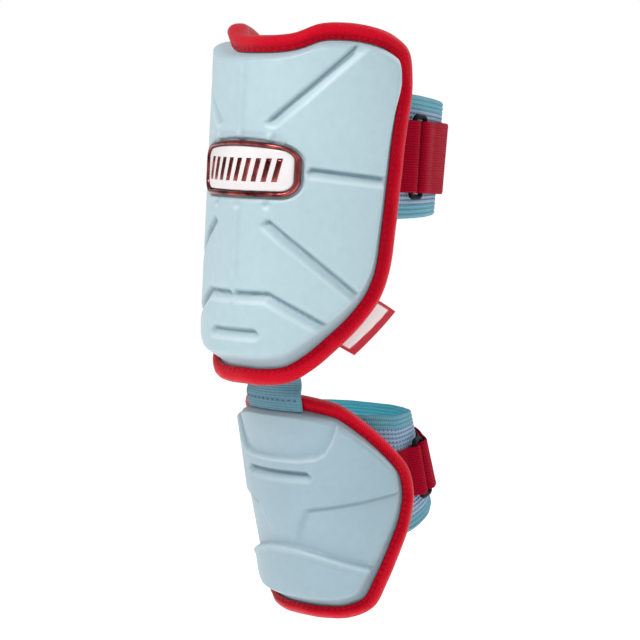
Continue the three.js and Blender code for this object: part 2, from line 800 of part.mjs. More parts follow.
// A folded label held under the tape where the outline turns in, standing out past its edge. Its
// sides run one way, square to the outline at its upper end.
function sideLabel() {
  const curve = outlineCurve(upper);
  const lift = tapeBack - tapeThickness - clearance - label.thickness / 2;
  const start = insetPoint(curve, label.from / 2, 0);
  const ahead = insetPoint(curve, label.from / 2, -1);
  const way = { x: ahead.x - start.x, y: ahead.y - start.y };
  const columns = 5;
  const sections = [];
  for (let k = 0; k <= columns; k++) {
    const p = insetPoint(curve, lerp(label.from, label.to, k / columns) / 2, 0);
    const reach = lerp(label.reach, label.lowReach, k / columns);
    const corner = (out, side) =>
      archPoint(upper, p.x + way.x * out, p.y + way.y * out, lift + (side * label.thickness) / 2);
    sections.push([corner(-label.tuck, 1), corner(reach, 1), corner(reach, -1), corner(-label.tuck, -1)]);
  }
  return loft(sections);
}

function piece(name, geometry, finish) {
  const mesh = new THREE.Mesh(geometry, new THREE.MeshStandardMaterial(finish));
  mesh.name = name;
  return mesh;
}

function harness(prefix, guard, band, strap) {
  const group = new THREE.Group();
  group.add(
    piece(`${prefix}_lining`, lining(guard), paint.lining),
    piece(`${prefix}_binding`, tape(guard), paint.tape),
    piece(`${prefix}_band`, elasticBand(guard, band), paint.elastic),
    piece(`${prefix}_anchor_web`, anchorWeb(guard, band, strap), paint.webbing),
    piece(`${prefix}_ring`, strapRing(guard, band, strap), paint.ring),
    piece(`${prefix}_pull_strap`, pullStrap(guard, band, strap), paint.webbing),
  );
  return group;
}

const badgePocket = badgeSlab(
  badge.rimWidth + 2 * clearance,
  pocketFloor,
  upper.bodyThickness + pocketHeadroom,
);
const upperShell = cutFrom(plainShell(upper), [
  ...reliefCutters(upper, upperGrooves, grooveCutter),
  badgePocket,
]);
const lowerShell = cutFrom(plainShell(lower), [
  ...reliefCutters(lower, lowerGrooves, grooveCutter),
  ...reliefCutters(lower, lowerPockets, pocketCutter),
]);

const elbowGuard = new THREE.Group();
elbowGuard.add(
  piece("upper_shell", upperShell, paint.foam),
  harness("upper", upper, upperBand, upperStrap),
  piece("badge_plate", badgePlate(), paint.plate),
  piece("badge_rim", badgeRim(), paint.rim),
  piece("side_label", sideLabel(), paint.tape),
  piece("elastic_link", elasticLink(), paint.elastic),
  piece("lower_shell", lowerShell, paint.foam),
  harness("lower", lower, lowerBand, lowerStrap),
);

export default elbowGuard;
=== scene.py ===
"""A batter's elbow guard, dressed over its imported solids. Lengths are worked out in millimetres and
written to the meshes in metres. +Z runs up the arm, the shells face -Y."""

import bpy
import numpy as np
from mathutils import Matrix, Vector


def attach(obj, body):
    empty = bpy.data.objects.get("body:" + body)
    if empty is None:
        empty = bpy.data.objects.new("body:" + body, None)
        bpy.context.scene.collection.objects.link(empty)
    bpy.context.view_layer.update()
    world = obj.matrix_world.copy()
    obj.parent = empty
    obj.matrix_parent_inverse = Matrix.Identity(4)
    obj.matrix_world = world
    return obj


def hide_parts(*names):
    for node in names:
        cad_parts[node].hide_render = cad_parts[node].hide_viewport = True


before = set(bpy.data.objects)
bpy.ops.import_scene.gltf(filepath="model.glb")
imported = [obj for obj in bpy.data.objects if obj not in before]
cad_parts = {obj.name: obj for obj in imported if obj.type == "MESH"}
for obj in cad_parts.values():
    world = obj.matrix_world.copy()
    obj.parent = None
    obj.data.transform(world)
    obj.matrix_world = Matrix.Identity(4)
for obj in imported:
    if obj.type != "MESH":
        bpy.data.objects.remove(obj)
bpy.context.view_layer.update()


# Studio: a pale floor well under the guard, a soft key from the upper left, two fills and a pale
# room. The camera stands where the photograph's stood, 45 degrees round and 6 up.
azimuth, elevation, distance = np.radians(45.0), np.radians(6.0), 1.2
flat_back = np.cos(elevation)
back = np.array([np.sin(azimuth) * flat_back, -np.cos(azimuth) * flat_back, np.sin(elevation)])
right = np.array([np.cos(azimuth), np.sin(azimuth), 0.0])
aim = -0.0041 * right + np.array([0.0, 0.0, -0.072])
camera_data = bpy.data.cameras.new("camera")
camera_data.sensor_width = 36.0
camera_data.lens = 144.2
camera = bpy.data.objects.new("camera", camera_data)
camera.location = aim + back * distance
camera.rotation_mode = "QUATERNION"
camera.rotation_quaternion = Vector(-back).to_track_quat("-Z", "Y")
bpy.context.scene.collection.objects.link(camera)
bpy.context.scene.camera = camera


def soft_light(name, place, size, watts, tint):
    """A square area light that faces the guard's middle."""
    data = bpy.data.lights.new(name, "AREA")
    data.size = size
    data.energy = watts
    data.color = tint
    light = bpy.data.objects.new(name, data)
    light.location = place
    light.rotation_mode = "QUATERNION"
    light.rotation_quaternion = (Vector(aim) - Vector(place)).to_track_quat("-Z", "Y")
    bpy.context.scene.collection.objects.link(light)


soft_light("key", (0.0, -1.0, 0.95), 0.36, 11.4, (1.0, 0.99, 0.98))
soft_light("side_fill", (1.25, -0.3, 0.85), 0.8, 3.4, (0.93, 0.96, 1.0))
soft_light("rear_fill", (0.1, 1.4, 0.8), 1.0, 9.0, (0.98, 0.99, 1.0))


def add_node(finish, kind, inputs, **settings):
    """A shader node with its settings, each input set to a value or linked to a socket."""
    node = finish.node_tree.nodes.new("ShaderNode" + kind)
    for key, value in settings.items():
        setattr(node, key, value)
    for key, value in inputs.items():
        if isinstance(value, bpy.types.NodeSocket):
            finish.node_tree.links.new(value, node.inputs[key])
        else:
            node.inputs[key].default_value = value
    return node


def shader_of(finish):
    """The finish's one surface shader."""
    return finish.node_tree.nodes["Principled BSDF"]


def new_finish(name, roughness, **values):
    """A material with that roughness and other plain values on its shader's own sockets."""
    finish = bpy.data.materials.new(name)
    finish.use_nodes = True
    for key, value in {"Roughness": roughness, **values}.items():
        shader_of(finish).inputs[key.replace("_", " ")].default_value = value
    return finish


world = bpy.data.worlds.new("room")
world.use_nodes = True
room = world.node_tree
white = (1.0, 1.0, 1.0, 1.0)
wall = room.nodes["Background"]
wall.inputs["Color"].default_value = white
wall.inputs["Strength"].default_value = 0.46
seen = add_node(world, "Background", {"Color": white, "Strength": 1.0})
ray = add_node(world, "LightPath", {}).outputs["Is Camera Ray"]
either = add_node(world, "MixShader", {"Fac": ray, 1: wall.outputs[0], 2: seen.outputs[0]})
room.links.new(either.outputs[0], room.nodes["World Output"].inputs["Surface"])
bpy.context.scene.world = world
bpy.context.scene.view_settings.view_transform = "Standard"
bpy.ops.mesh.primitive_plane_add(size=40.0, location=(0.0, 0.0, -0.45))
floor = bpy.context.object
floor.name = "floor"
pale_grey = (0.9, 0.9, 0.9, 1.0)
paper = new_finish("floor_paper", 0.9, Base_Color=pale_grey, Emission_Color=white, Emission_Strength=0.6)
floor.data.materials.append(paper)


# Foam shells: moulded closed-cell foam with a satin skin, one over the upper arm and one over the
# forearm. Each is pressed with a thin flange all round that the tape is sewn over, a bevel, and a
# raised body with grooves; the upper one has a pocket for the badge.
def catmull(points, closed, steps=60):
    """The centripetal Catmull-Rom curve through the points: on each span a cubic whose end slopes
    are weighted by the square roots of the neighbouring chords. Returns a dense polyline."""
    points = np.asarray(points, float)
    if closed:
        p0, p1, p2, p3 = (np.roll(points, shift, 0) for shift in (1, 0, -1, -2))
    else:
        ends = np.vstack([2 * points[0] - points[1], points, 2 * points[-1] - points[-2]])
        p0, p1, p2, p3 = ends[:-3], ends[1:-2], ends[2:-1], ends[3:]
    a, b, c = (np.linalg.norm(q - p, axis=1)[:, None] ** 0.5 for p, q in ((p0, p1), (p1, p2), (p2, p3)))
    slope1 = b * ((p1 - p0) / a - (p2 - p0) / (a + b) + (p2 - p1) / b)
    slope2 = b * ((p2 - p1) / b - (p3 - p1) / (b + c) + (p3 - p2) / c)
    t = (np.arange(steps) / steps)[None, :, None]
    p1, p2, slope1, slope2 = (v[:, None, :] for v in (p1, p2, slope1, slope2))
    curve = (
        p1
        + slope1 * t
        + (3 * (p2 - p1) - 2 * slope1 - slope2) * t**2
        + (2 * (p1 - p2) + slope1 + slope2) * t**3
    )
    curve = curve.reshape(-1, points.shape[1])
    return np.vstack([curve, points[:1] if closed else points[-1:]])


def running_length(points):
    """Distance along a row of points to each of them."""
    return np.concatenate([[0], np.cumsum(np.linalg.norm(np.diff(points, axis=0), axis=1))])


class Line:
    """A polyline read by the distance along it, with its direction."""

    def __init__(self, points):
        self.points = points
        self.far = running_length(points)
        self.length = self.far[-1]
        self.slope = np.gradient(points, self.far, axis=0)
        self.slope /= np.linalg.norm(self.slope, axis=1)[:, None]

    def at(self, distance, offset=0.0):
        """The point at that distance, moved to the right of the way it runs by the offset."""
        distance = np.clip(np.asarray(distance, float), 0.0, self.length)
        x, y = (np.interp(distance, self.far, self.points[:, k]) for k in (0, 1))
        dx, dy = (np.interp(distance, self.far, self.slope[:, k]) for k in (0, 1))
        return np.stack([x + dy * offset, y - dx * offset], -1)


class Guard:
    """One guard's arch, outline and heights, all in millimetres."""

    def __init__(
        self, name, height, girth, foot, nose, flank, ridge, lean, level, body, cover, outline, corners
    ):
        self.name, self.height, self.foot = name, height, foot
        self.nose, self.flank, self.turn = nose, flank, np.radians(38.0)
        self.ridge, self.lean, self.level, self.body = ridge, np.tan(np.radians(lean)), level, body
        half = np.array(outline) * [girth, height] + [0.0, foot]
        rim = catmull(np.vstack([half, half[-2:0:-1] * [-1, 1]]), True)
        self.rim, self.corners, self.cover = Line(rim), corners, cover

    def arch(self, across, z, lift):
        """The point that lies the given way round the arch from the ridge, at that height and that
        far out: a nose arc, then a wider flank arc, moved back by the lean."""
        across, z, lift = np.broadcast_arrays(*(np.asarray(v, float) for v in (across, z, lift)))
        run, bend = np.abs(across), self.turn
        nose = np.minimum(run, self.nose * bend) / self.nose
        turn = nose + np.maximum(run - self.nose * bend, 0) / self.flank
        wide = self.nose * np.sin(nose) + self.flank * (np.sin(turn) - np.sin(nose))
        deep = self.nose * (1 - np.cos(nose)) + self.flank * (np.cos(nose) - np.cos(turn))
        x = np.where(across < 0, -1, 1) * (wide + lift * np.sin(turn))
        y = self.ridge + self.lean * (z - self.level) + deep - lift * np.cos(turn)
        return np.stack([x, y, z], -1)

    def edge(self, q, inset):
        """A point of the outline at place q round a square of side 2, moved in by the inset."""
        flip = q > 4
        q = np.where(flip, 8 - q, q)
        first, second = (share / 2 for share in self.corners)
        u = np.where(
            q <= 1,
            first * q,
            np.where(q <= 3, first + (second - first) * (q - 1) / 2, second + (0.5 - second) * (q - 3)),
        )
        return self.rim.at(np.where(flip, 1 - u, u) * self.rim.length, inset)


upper = Guard(
    "upper", 163, 74, -97, 40, 58, -47, 4.0, 0.0, 11.0, 7.8,
    [(0, 0.966), (0.23, 0.972), (0.392, 0.997), (0.54, 1.0), (0.703, 0.99), (0.851, 0.966),
     (0.96, 0.924), (1.0, 0.838), (0.966, 0.656), (0.932, 0.442), (0.899, 0.307), (0.838, 0.233),
     (0.73, 0.166), (0.595, 0.104), (0.459, 0.049), (0.324, 0.012), (0.162, 0.0), (0, 0.0)],
    (0.34, 0.72),
)
lower = Guard(
    "lower", 107, 61, -210, 41, 46, -24, -10.0, -156.5, 9.5, 6.4,
    [(0, 1.0), (0.2, 0.998), (0.36, 0.984), (0.52, 0.958), (0.68, 0.888), (0.86, 0.78),
     (0.978, 0.68), (1.0, 0.57), (0.942, 0.44), (0.84, 0.318), (0.7, 0.168), (0.58, 0.062),
     (0.4, 0.012), (0.2, 0.0), (0, 0.0)],
    (0.36, 0.78),
)


def step(low, high, v):
    """0 below low, 1 above high and a smooth S between."""
    t = np.clip((v - low) / (high - low), 0, 1)
    return t * t * (3 - 2 * t)


def square_grid(half):
    """Ring and place round the square for each corner of a grid of 2*half cells a side."""
    b, a = np.mgrid[-half : half + 1, -half : half + 1].astype(float)
    ring = np.maximum(np.abs(a), np.abs(b))
    safe = np.maximum(ring, 1)
    q = np.select(
        [ring == 0, b == ring, a == ring, b == -ring],
        [0 * a, (a / safe + 8) % 8, 2 - b / safe, 4 - a / safe],
        6 + b / safe,
    )
    return ring, q


def flat_sheet(guard, half, insets, middle, reach, dense):
    """Flat points whose outer rings follow the outline at the insets and whose inner rings are the
    last of these shrunk to the middle, the first share of them closer together. Returns across,
    z, the inset from the outline and the place round it."""
    ring, q = square_grid(half)
    insets = np.asarray(insets, float)
    from_edge = (half - ring).astype(int)
    inset = insets[np.minimum(from_edge, len(insets) - 1)]
    rim = guard.edge(q, inset)
    inner = ring / (half - len(insets) + 1)
    share = np.interp(inner, [0, 1 - dense[0], 1], [0, 1 - dense[1], 1])[..., None]
    flat = np.asarray(middle) * (1 - share) + rim * share
    return flat[..., 0], flat[..., 1], inset + (1 - share[..., 0]) * reach, q


def grid_uv(along, across):
    """UV of a grid from the distances along it and across it."""
    return np.stack(np.broadcast_arrays(along[:, None], across[None, :]), -1)


def sheet_uv(across, up):
    """The same UV for both faces of a sheet."""
    return np.concatenate([np.stack([across, up], -1).reshape(-1, 2)] * 2)


def grid_faces(rows, cols, wrap_rows=False, wrap_cols=False):
    """Quads of a grid of rows by cols points, joined round where asked."""
    r = np.arange(rows if wrap_rows else rows - 1)[:, None]
    c = np.arange(cols if wrap_cols else cols - 1)[None, :]
    r2, c2 = (r + 1) % rows, (c + 1) % cols
    quads = np.stack([r * cols + c, r * cols + c2, r2 * cols + c2, r2 * cols + c], -1)
    return quads.reshape(-1, 4)


def square_faces(n):
    """Quads of a square-ring grid, each started so that its split runs towards the middle."""
    quads = grid_faces(n, n)
    r, c = np.divmod(np.arange((n - 1) ** 2), n - 1)
    crossing = (r < (n - 1) // 2) != (c < (n - 1) // 2)
    quads[crossing] = np.roll(quads[crossing], 1, 1)
    return quads


def make_piece(name, points, quads, finish, uv=None, lap=0.0, **layers):
    """Puts points (mm), quads, the UV in metres and named 0 to 1 layers into a mesh that faces
    outwards. Where a quad closes a loop of length lap, its first stations read as if one lap on."""
    points = points.reshape(-1, 3) / 1000.0
    a, b, c, d = (points[quads[:, k]] for k in range(4))
    if (np.einsum("ij,ij->i", a, np.cross(b, c)) + np.einsum("ij,ij->i", a, np.cross(c, d))).sum() < 0:
        quads = quads[:, [0, 3, 2, 1]]
    mesh = bpy.data.meshes.new(name)
    mesh.vertices.add(len(points))
    mesh.vertices.foreach_set("co", points.astype(np.float32).ravel())
    mesh.loops.add(quads.size)
    mesh.loops.foreach_set("vertex_index", quads.astype(np.int32).ravel())
    mesh.polygons.add(len(quads))
    mesh.polygons.foreach_set("loop_start", np.arange(0, quads.size, 4, dtype=np.int32))
    mesh.update(calc_edges=True)
    mesh.validate()
    mesh.polygons.foreach_set("use_smooth", np.full(len(mesh.polygons), True))
    if uv is not None:
        layer = mesh.uv_layers.new(name="surface")
        loops = np.zeros(len(mesh.loops), np.int32)
        mesh.loops.foreach_get("vertex_index", loops)
        flat = (uv.reshape(-1, 2) / 1000.0)[loops].reshape(-1, 4, 2)
        if lap:
            first = flat[..., 0] < flat[..., 0].max(1)[:, None] - lap / 2000.0
            flat[..., 0] += lap / 1000.0 * first
        layer.data.foreach_set("uv", flat.astype(np.float32).ravel())
    for layer_name, values in layers.items():
        layer = mesh.attributes.new(layer_name, "FLOAT", "POINT")
        layer.data.foreach_set("value", values.astype(np.float32).ravel())
    mesh.materials.append(finish)
    piece = bpy.data.objects.new(name, mesh)
    bpy.context.scene.collection.objects.link(piece)
    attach(piece, "root")
    return piece


def sheet_between(outer, inner, cells):
    """Points and quads of the closed sheet between two grids with the same cells."""
    rows, cols = outer.shape[:2]
    count = rows * cols
    ids = np.arange(count).reshape(rows, cols)
    rim = np.concatenate([ids[0, :-1], ids[:-1, -1], ids[-1, :0:-1], ids[:0:-1, 0]])
    after = np.roll(rim, -1)
    wall = np.stack([rim, rim + count, after + count, after], -1)
    quads = np.concatenate([cells, cells[:, ::-1] + count, wall])
    return np.concatenate([outer.reshape(-1, 3), inner.reshape(-1, 3)]), quads


def reach_of(across, z, path):
    """Distance from a path of straight runs, and how far above (+) or below it the point lies."""
    path = np.asarray(path, float)
    best, side = np.full(across.shape, 1e9), np.zeros(across.shape)
    for p, q in zip(path[:-1], path[1:]):
        run = q - p
        t = np.clip(((across - p[0]) * run[0] + (z - p[1]) * run[1]) / (run @ run), 0, 1)
        dx, dz = across - p[0] - t * run[0], z - p[1] - t * run[1]
        near = np.hypot(dx, dz)
        closer = near < best
        best, side = np.where(closer, near, best), np.where(closer, np.sign(dz + 1e-9), side)
    return best, side


def groove(across, z, path, width, depth):
    """A moulded groove: a steep wall above a narrow floor and a longer slope below it."""
    near, side = reach_of(across, z, path)
    wall = 1 - step(0.0, width * 0.36, near - 0.35)
    slope = 1 - step(-0.12, 1.0, (near - 0.2) / (width * 0.66))
    bead = 0.42 * np.exp(-(((near - width * 0.86) / 1.1) ** 2))
    return np.where(side > 0, depth * wall, depth * slope - bead)


flange = 1.8


def bevel_share(inset, beside, foot, wide, narrow):
    """How far the plain body has risen from the flange, 0 to 1: a slope with a rounded top, and a
    narrower round-over at the top edge, where the place beside it is under 1."""
    width = narrow + (wide - narrow) * step(0.85, 1.5, beside)
    t = (inset - foot) / width
    slope = np.interp(t, [0, 0.08, 0.2, 0.8, 0.93, 1.06, 1.3], [0, 0.03, 0.14, 0.84, 0.955, 0.992, 1.0])
    round_over = np.sqrt(np.clip(1 - (1 - np.clip(t, 0, 1)) ** 2.2, 0, 1))
    return round_over + (slope - round_over) * step(0.9, 1.4, beside)


badge_half, badge_corner, badge_z, badge_drop = (23.0, 10.0), 4.8, 0.963, 2.6
pocket_deep = 1.95


def badge_fall(across):
    """The share that the badge's upper half loses in height: the square of the way to its end."""
    return badge_drop / badge_half[1] * (across / badge_half[0]) ** 2


def badge_distance(across, z):
    """Signed distance from the badge plate's outline, a rectangle with round corners and an
    arched top."""
    dx = np.abs(across) - (badge_half[0] - badge_corner)
    up = z - badge_z
    up = np.where(up > 0, up / (1 - np.minimum(badge_fall(across), 0.6)), up)
    dz = np.abs(up) - (badge_half[1] - badge_corner)
    outside = np.hypot(np.maximum(dx, 0), np.maximum(dz, 0))
    return outside + np.minimum(np.maximum(dx, dz), 0) - badge_corner


def upper_relief(across, z):
    """What the mould takes off the upper body, in millimetres."""
    side = np.abs(across)
    paired = (
        ([(14, 22.5), (47, 57)], 6.0, 2.5),
        ([(29.5, 0.2), (60, -4.4)], 6.0, 2.5),
        ([(14, -23.3), (49.3, -56)], 6.0, 2.5),
        ([(2.6, -55.4), (15, -55.4), (39.5, -70.6)], 6.6, 2.6),
    )
    cut = groove(across, z, [(-10, -72.4), (10, -72.4)], 6.2, 2.5)
    for path, width, depth in paired:
        cut = np.maximum(cut, groove(side, z, path, width, depth))
    pocket = badge_distance(across, z)
    cut = np.maximum(cut, pocket_deep * (1 - step(2.7, 4.4, pocket)))
    crease = np.exp(-((across / 1.4) ** 2)) * step(-51, -46, z) * (1 - step(48, 60, z))
    cut = cut - 0.7 * crease * step(3.4, 5.0, pocket)
    for place in (-13.0, 0.0, 13.0):
        top = 16.0 - badge_half[1] * badge_fall(place)
        aside = ((across - place) / 1.4) ** 2
        knob, dent = (np.exp(-(aside + far**2)) for far in ((z - top) / 1.7, (z + 14.6) / 1.5))
        cut = cut + 1.9 * (dent - knob)
    brim = 15.6 - badge_half[1] * badge_fall(across)
    return cut + 0.9 * np.exp(-(((z - brim) / 2.2) ** 2)) * (1 - step(17, 24, side))


def lower_relief(across, z):
    """What the mould takes off the lower body: the cup under the top edge, a slot, the brow above
    the chin ledge and the cheeks beside it, in millimetres."""
    side = np.abs(across)
    lip_z = [-134.4, -134.2, -133.0, -130.3, -125.3, -118.8, -112, -102]
    lip = np.interp(side, [0, 12, 19.5, 23.5, 26.5, 29, 31, 33], lip_z)
    cup_top = -109.5
    sink = np.clip((cup_top - z) / np.maximum(cup_top - lip, 4), 0, 1)
    cup = (1.0 + 1.7 * sink) * step(0.0, 3.4, z - lip) * (1 - step(-112.4, -109.0, z))
    cut = cup - 0.75 * np.exp(-(((z - lip + 1.5) / 1.9) ** 2)) * (1 - step(26, 31, side))
    cut = np.maximum(cut, groove(across, z, [(-14.4, -139.8), (14.4, -139.8)], 5.8, 2.5))
    ledge = np.interp(side, [0, 7.5, 18, 36, 50], [-176.1, -176.4, -178.9, -184.5, -189.0])
    above = step(0.0, 2.2, z - ledge)
    bead = 0.7 * np.exp(-(((z - ledge + 1.1) / 1.3) ** 2)) * (1 - step(38, 44, side))
    crease_z = np.interp(side, [10, 20, 32, 50, 60], [-156.0, -153.9, -151.2, -146.6, -144.2])
    inner = np.interp(z, [-176.5, -156], [4.0, 13.0])
    fall = np.clip((crease_z - z) / np.maximum(crease_z - ledge, 4), 0, 1)
    cheek = (1.25 + 1.5 * fall) * step(0.0, 1.0, crease_z - z) * step(-1.6, 2.0, side - inner)
    brow = 2.4 * np.clip((-152 - z) / 22.5, 0, 1) ** 2.2 * (1 - step(-1.6, 2.0, side - inner))
    return np.maximum(cut, (cheek + brow) * above) - bead


def noise(finish, coords, scale, detail=3.0):
    """Cloudy noise from 0 to 1."""
    inputs = {"Vector": coords, "Scale": scale, "Detail": detail}
    return add_node(finish, "TexNoise", inputs).outputs["Fac"]


def grain(finish, scale, detail=3.0):
    """Cloudy noise that sits in the piece's own Object coordinates."""
    return noise(finish, coords_of(finish, "Object"), scale, detail)


def between(finish, factor, low, high, from_low=0.3, from_high=0.7):
    """A colour that runs from low to high as the factor runs over its range."""
    ramp = add_node(finish, "ValToRGB", {"Fac": factor})
    for end, position, colour in zip(ramp.color_ramp.elements, (from_low, from_high), (low, high)):
        end.position, end.color = position, (*colour, 1.0)
    return ramp.outputs["Color"]


def blend_colours(finish, factor, first, second, mode="MIX"):
    """The first colour turned into the second by the factor."""
    inputs = {"Factor": factor, "A": first, "B": second}
    return add_node(finish, "Mix", inputs, data_type="RGBA", blend_type=mode).outputs["Result"]


def sums(finish, operation, first, second):
    """Two factors put together by one sum."""
    return add_node(finish, "Math", {0: first, 1: second}, operation=operation).outputs[0]


def layer_of(finish, name="shade"):
    """A 0 to 1 layer that the mesh carries on its points."""
    return add_node(finish, "Attribute", {}, attribute_name=name).outputs["Fac"]


def coords_of(finish, kind):
    """The piece's own Object or UV coordinates."""
    return add_node(finish, "TexCoord", {}).outputs[kind]


def raised(finish, height, depth, before=None):
    """Bump from a 0 to 1 height, depth in metres, on top of an earlier bump if there is one."""
    inputs = {"Strength": 1.0, "Distance": depth, "Height": height}
    if before is not None:
        inputs["Normal"] = before
    normal = add_node(finish, "Bump", inputs).outputs["Normal"]
    finish.node_tree.links.new(normal, shader_of(finish).inputs["Normal"])
    return normal


def coloured(finish, colour):
    """Gives the finish that colour."""
    finish.node_tree.links.new(colour, shader_of(finish).inputs["Base Color"])


def foam_skin(name, tone):
    """Satin moulded skin: two scales of cloudy tint, painted shade in the grooves and a painted
    highlight on the edges below them, with a fine grain."""
    foam = new_finish(name, 0.46, Sheen_Weight=0.1, Sheen_Roughness=0.5)
    place = coords_of(foam, "Object")
    blues = ((0.385, 0.515, 0.565), (0.415, 0.550, 0.600), (0.375, 0.50, 0.55), (0.425, 0.56, 0.615),
             (0.11, 0.20, 0.245), (0.60, 0.73, 0.77))
    low, high, fine_low, fine_high, deep, lit = (np.multiply(tone, blue) for blue in blues)
    clouds = between(foam, noise(foam, place, 26.0), low, high)
    worn = between(foam, noise(foam, place, 240.0, 5.0), fine_low, fine_high, 0.35, 0.65)
    skin = blend_colours(foam, 0.35, clouds, worn)
    # Painted highlight: edges below a dip are mixed towards the lit blue by the highlight layer.
    skin = blend_colours(foam, sums(foam, "MULTIPLY", layer_of(foam, "pale"), 0.95), skin, (*lit, 1.0))
    # Painted shade: the shade layer darkens grooves, edges and the bevel towards the deep blue.
    skin = blend_colours(foam, layer_of(foam), skin, (*deep, 1.0))
    coloured(foam, skin)
    pores = raised(foam, noise(foam, place, 1500.0, 2.0), 0.00005)
    raised(foam, noise(foam, place, 120.0, 2.0), 0.00012, pores)
    return foam


def shell(guard, relief, half, middle, foot, wide, narrow, reach, finish):
    """The body's height less its relief over the arch, closed by a plain back. Two layers carry
    painted light: painted shade where a point lies under an edge, turns away or sits on the
    bevel's slope, and a painted highlight on an edge below a dip."""
    insets = [1.6, 3.4, 5.0, 6.2, 7.0, 7.6, 8.2, 8.7, 9.2]
    across, z, inset, q = flat_sheet(guard, half, insets, middle, reach, (0.22, 0.115))
    beside = np.where(q > 4, 8 - q, q)
    rise = bevel_share(inset, beside, foot, wide, narrow)
    cut = relief(across, z)
    lift = flange + (guard.body - flange) * rise - cut * step(0.35, 0.95, rise)
    # Painted shade under edges and on faces turned to the right, and a painted highlight on edges below
    # a dip, read from the relief's slopes.
    under, above = cut - relief(across, z + 2.0), relief(across, z + 1.1) - cut
    turned = np.clip((cut - relief(across - 0.9, z)) / 0.9, 0, 1) * 0.3
    shade = np.maximum(np.clip(under / 1.9, 0, 1) ** 2 * 0.85, turned) * step(0.5, 1.0, rise)
    pale = np.clip(above / 1.1, 0, 1) * np.clip(1.2 - cut / 1.6, 0, 1) * step(0.6, 1.0, rise)
    if guard is upper:
        clear = step(4.6, 6.0, badge_distance(across, z))
        shade, pale = shade * clear, pale * (0.4 + 0.6 * clear)
    # Painted shade on the bevel's slope along the sides and bottom.
    slope_shade = 0.26 * np.exp(-(((rise - 0.45) / 0.3) ** 2)) * step(0.9, 1.4, beside)
    shade = np.maximum(shade, slope_shade)
    shade, pale = (np.concatenate([v.ravel(), np.zeros(v.size)]) for v in (shade, pale))
    points, quads = sheet_between(
        guard.arch(across, z, lift), guard.arch(across, z, cloth_gap), square_faces(2 * half + 1)
    )
    uv = sheet_uv(across, z)
    piece = make_piece(f"{guard.name}_foam_shell", points, quads, finish, uv, shade=shade, pale=pale)
    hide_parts(f"{guard.name}_shell")


cloth_gap = 0.15
upper_skin = foam_skin("moulded_foam_skin", (0.98, 0.98, 0.98))
# The forearm shell's copy of the skin is darker and bluer: painted shade for the dimmer light on the
# lower guard.
shaded_lower_skin = foam_skin("forearm_foam_skin", (0.69, 0.73, 0.765))
shell(upper, upper_relief, 106, (0, 1), 8.3, 5.2, 5.0, 66, upper_skin)
shell(lower, lower_relief, 100, (0, -147), 6.9, 4.6, 4.0, 52, shaded_lower_skin)


# Cloth linings: a pad of spacer mesh behind each shell, about 3 mm thick, cut to the shell's
# outline. It is held by the tape round its edge and swells a little between the edges.
def mottled(finish, colour, coords, scale, darkest):
    """The colour, darkened in clouds down to that share of it."""
    clouds = between(finish, noise(finish, coords, scale), darkest, (1.0, 1.0, 1.0))
    return blend_colours(finish, 1.0, colour, clouds, "MULTIPLY")


mesh_cloth = new_finish("spacer_mesh_cloth", 0.9, Sheen_Weight=0.35, Sheen_Roughness=0.6)
weave = coords_of(mesh_cloth, "UV")
holes = add_node(mesh_cloth, "TexVoronoi", {"Vector": weave, "Scale": 520.0, "Randomness": 0.12})
holes = holes.outputs["Distance"]
knit = between(mesh_cloth, holes, (0.35, 0.36, 0.39), (0.66, 0.67, 0.70), 0.18, 0.5)
coloured(mesh_cloth, mottled(mesh_cloth, knit, weave, 45.0, (0.82, 0.82, 0.83)))
raised(mesh_cloth, holes, 0.0005)
lining_back = -2.8


def lining(guard, half, middle):
    """A pad between two offsets of the arch: its inner face swells inwards away from the edge, with
    slow waves of a sine each way."""
    across, z, inset, _ = flat_sheet(guard, half, [1.6, 4.0, 6.5, 9.0], middle, 58, (0.1, 0.1))
    waves = 0.12 * np.sin(across * 0.31) * np.sin(z * 0.23) * step(10, 18, inset)
    swell = 0.75 * step(8.5, 15.0, inset) + waves
    inner = guard.arch(across, z, lining_back + 0.05 - swell)
    points, quads = sheet_between(guard.arch(across, z, -cloth_gap), inner, square_faces(2 * half + 1))
    name = f"{guard.name}_mesh_lining"
    piece = make_piece(name, points, quads, mesh_cloth, sheet_uv(across, z))
    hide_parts(f"{guard.name}_lining")


lining(upper, 60, (0, -15))
lining(lower, 52, (0, -156))


# Binding tape: knitted, 27 and 24 mm wide, folded over the edges of shell and lining and sewn
# through all layers with one row of thread near its inner edge, where it puckers a little.
tape_cloth = new_finish("binding_tape", 0.42, Specular_Tint=(1.0, 0.1, 0.14, 1.0))
run = coords_of(tape_cloth, "UV")
crosswise = 1.5708


def twill(finish, coords, scale, angle=0.0):
    """Fine ribs: a sine wave across UV, turned by the angle."""
    turned = add_node(finish, "Mapping", {"Vector": coords, "Rotation": (0.0, 0.0, angle)})
    inputs = {"Vector": turned.outputs["Vector"], "Scale": scale, "Distortion": 0.6, "Detail": 1.0}
    return add_node(finish, "TexWave", inputs).outputs["Fac"]


def crossed(finish, coords, first, second, angles=(0.0, crosswise)):
    """Two sets of fine ribs that cross, multiplied."""
    ribs = (twill(finish, coords, *rib) for rib in zip((first, second), angles))
    return sums(finish, "MULTIPLY", *ribs)


threads = crossed(tape_cloth, run, 420.0, 360.0, (0.62, -0.9))
red = between(tape_cloth, threads, (0.54, 0.0, 0.012), (0.90, 0.001, 0.026), 0.1, 0.9)
red = mottled(tape_cloth, red, run, 30.0, (0.86, 0.86, 0.86))
# Painted shade along the stitch row, deeper at each pucker, from the shade layer.
red = blend_colours(tape_cloth, layer_of(tape_cloth), red, (0.16, 0.0, 0.004, 1.0))
coloured(tape_cloth, red)
raised(tape_cloth, threads, 0.00022)


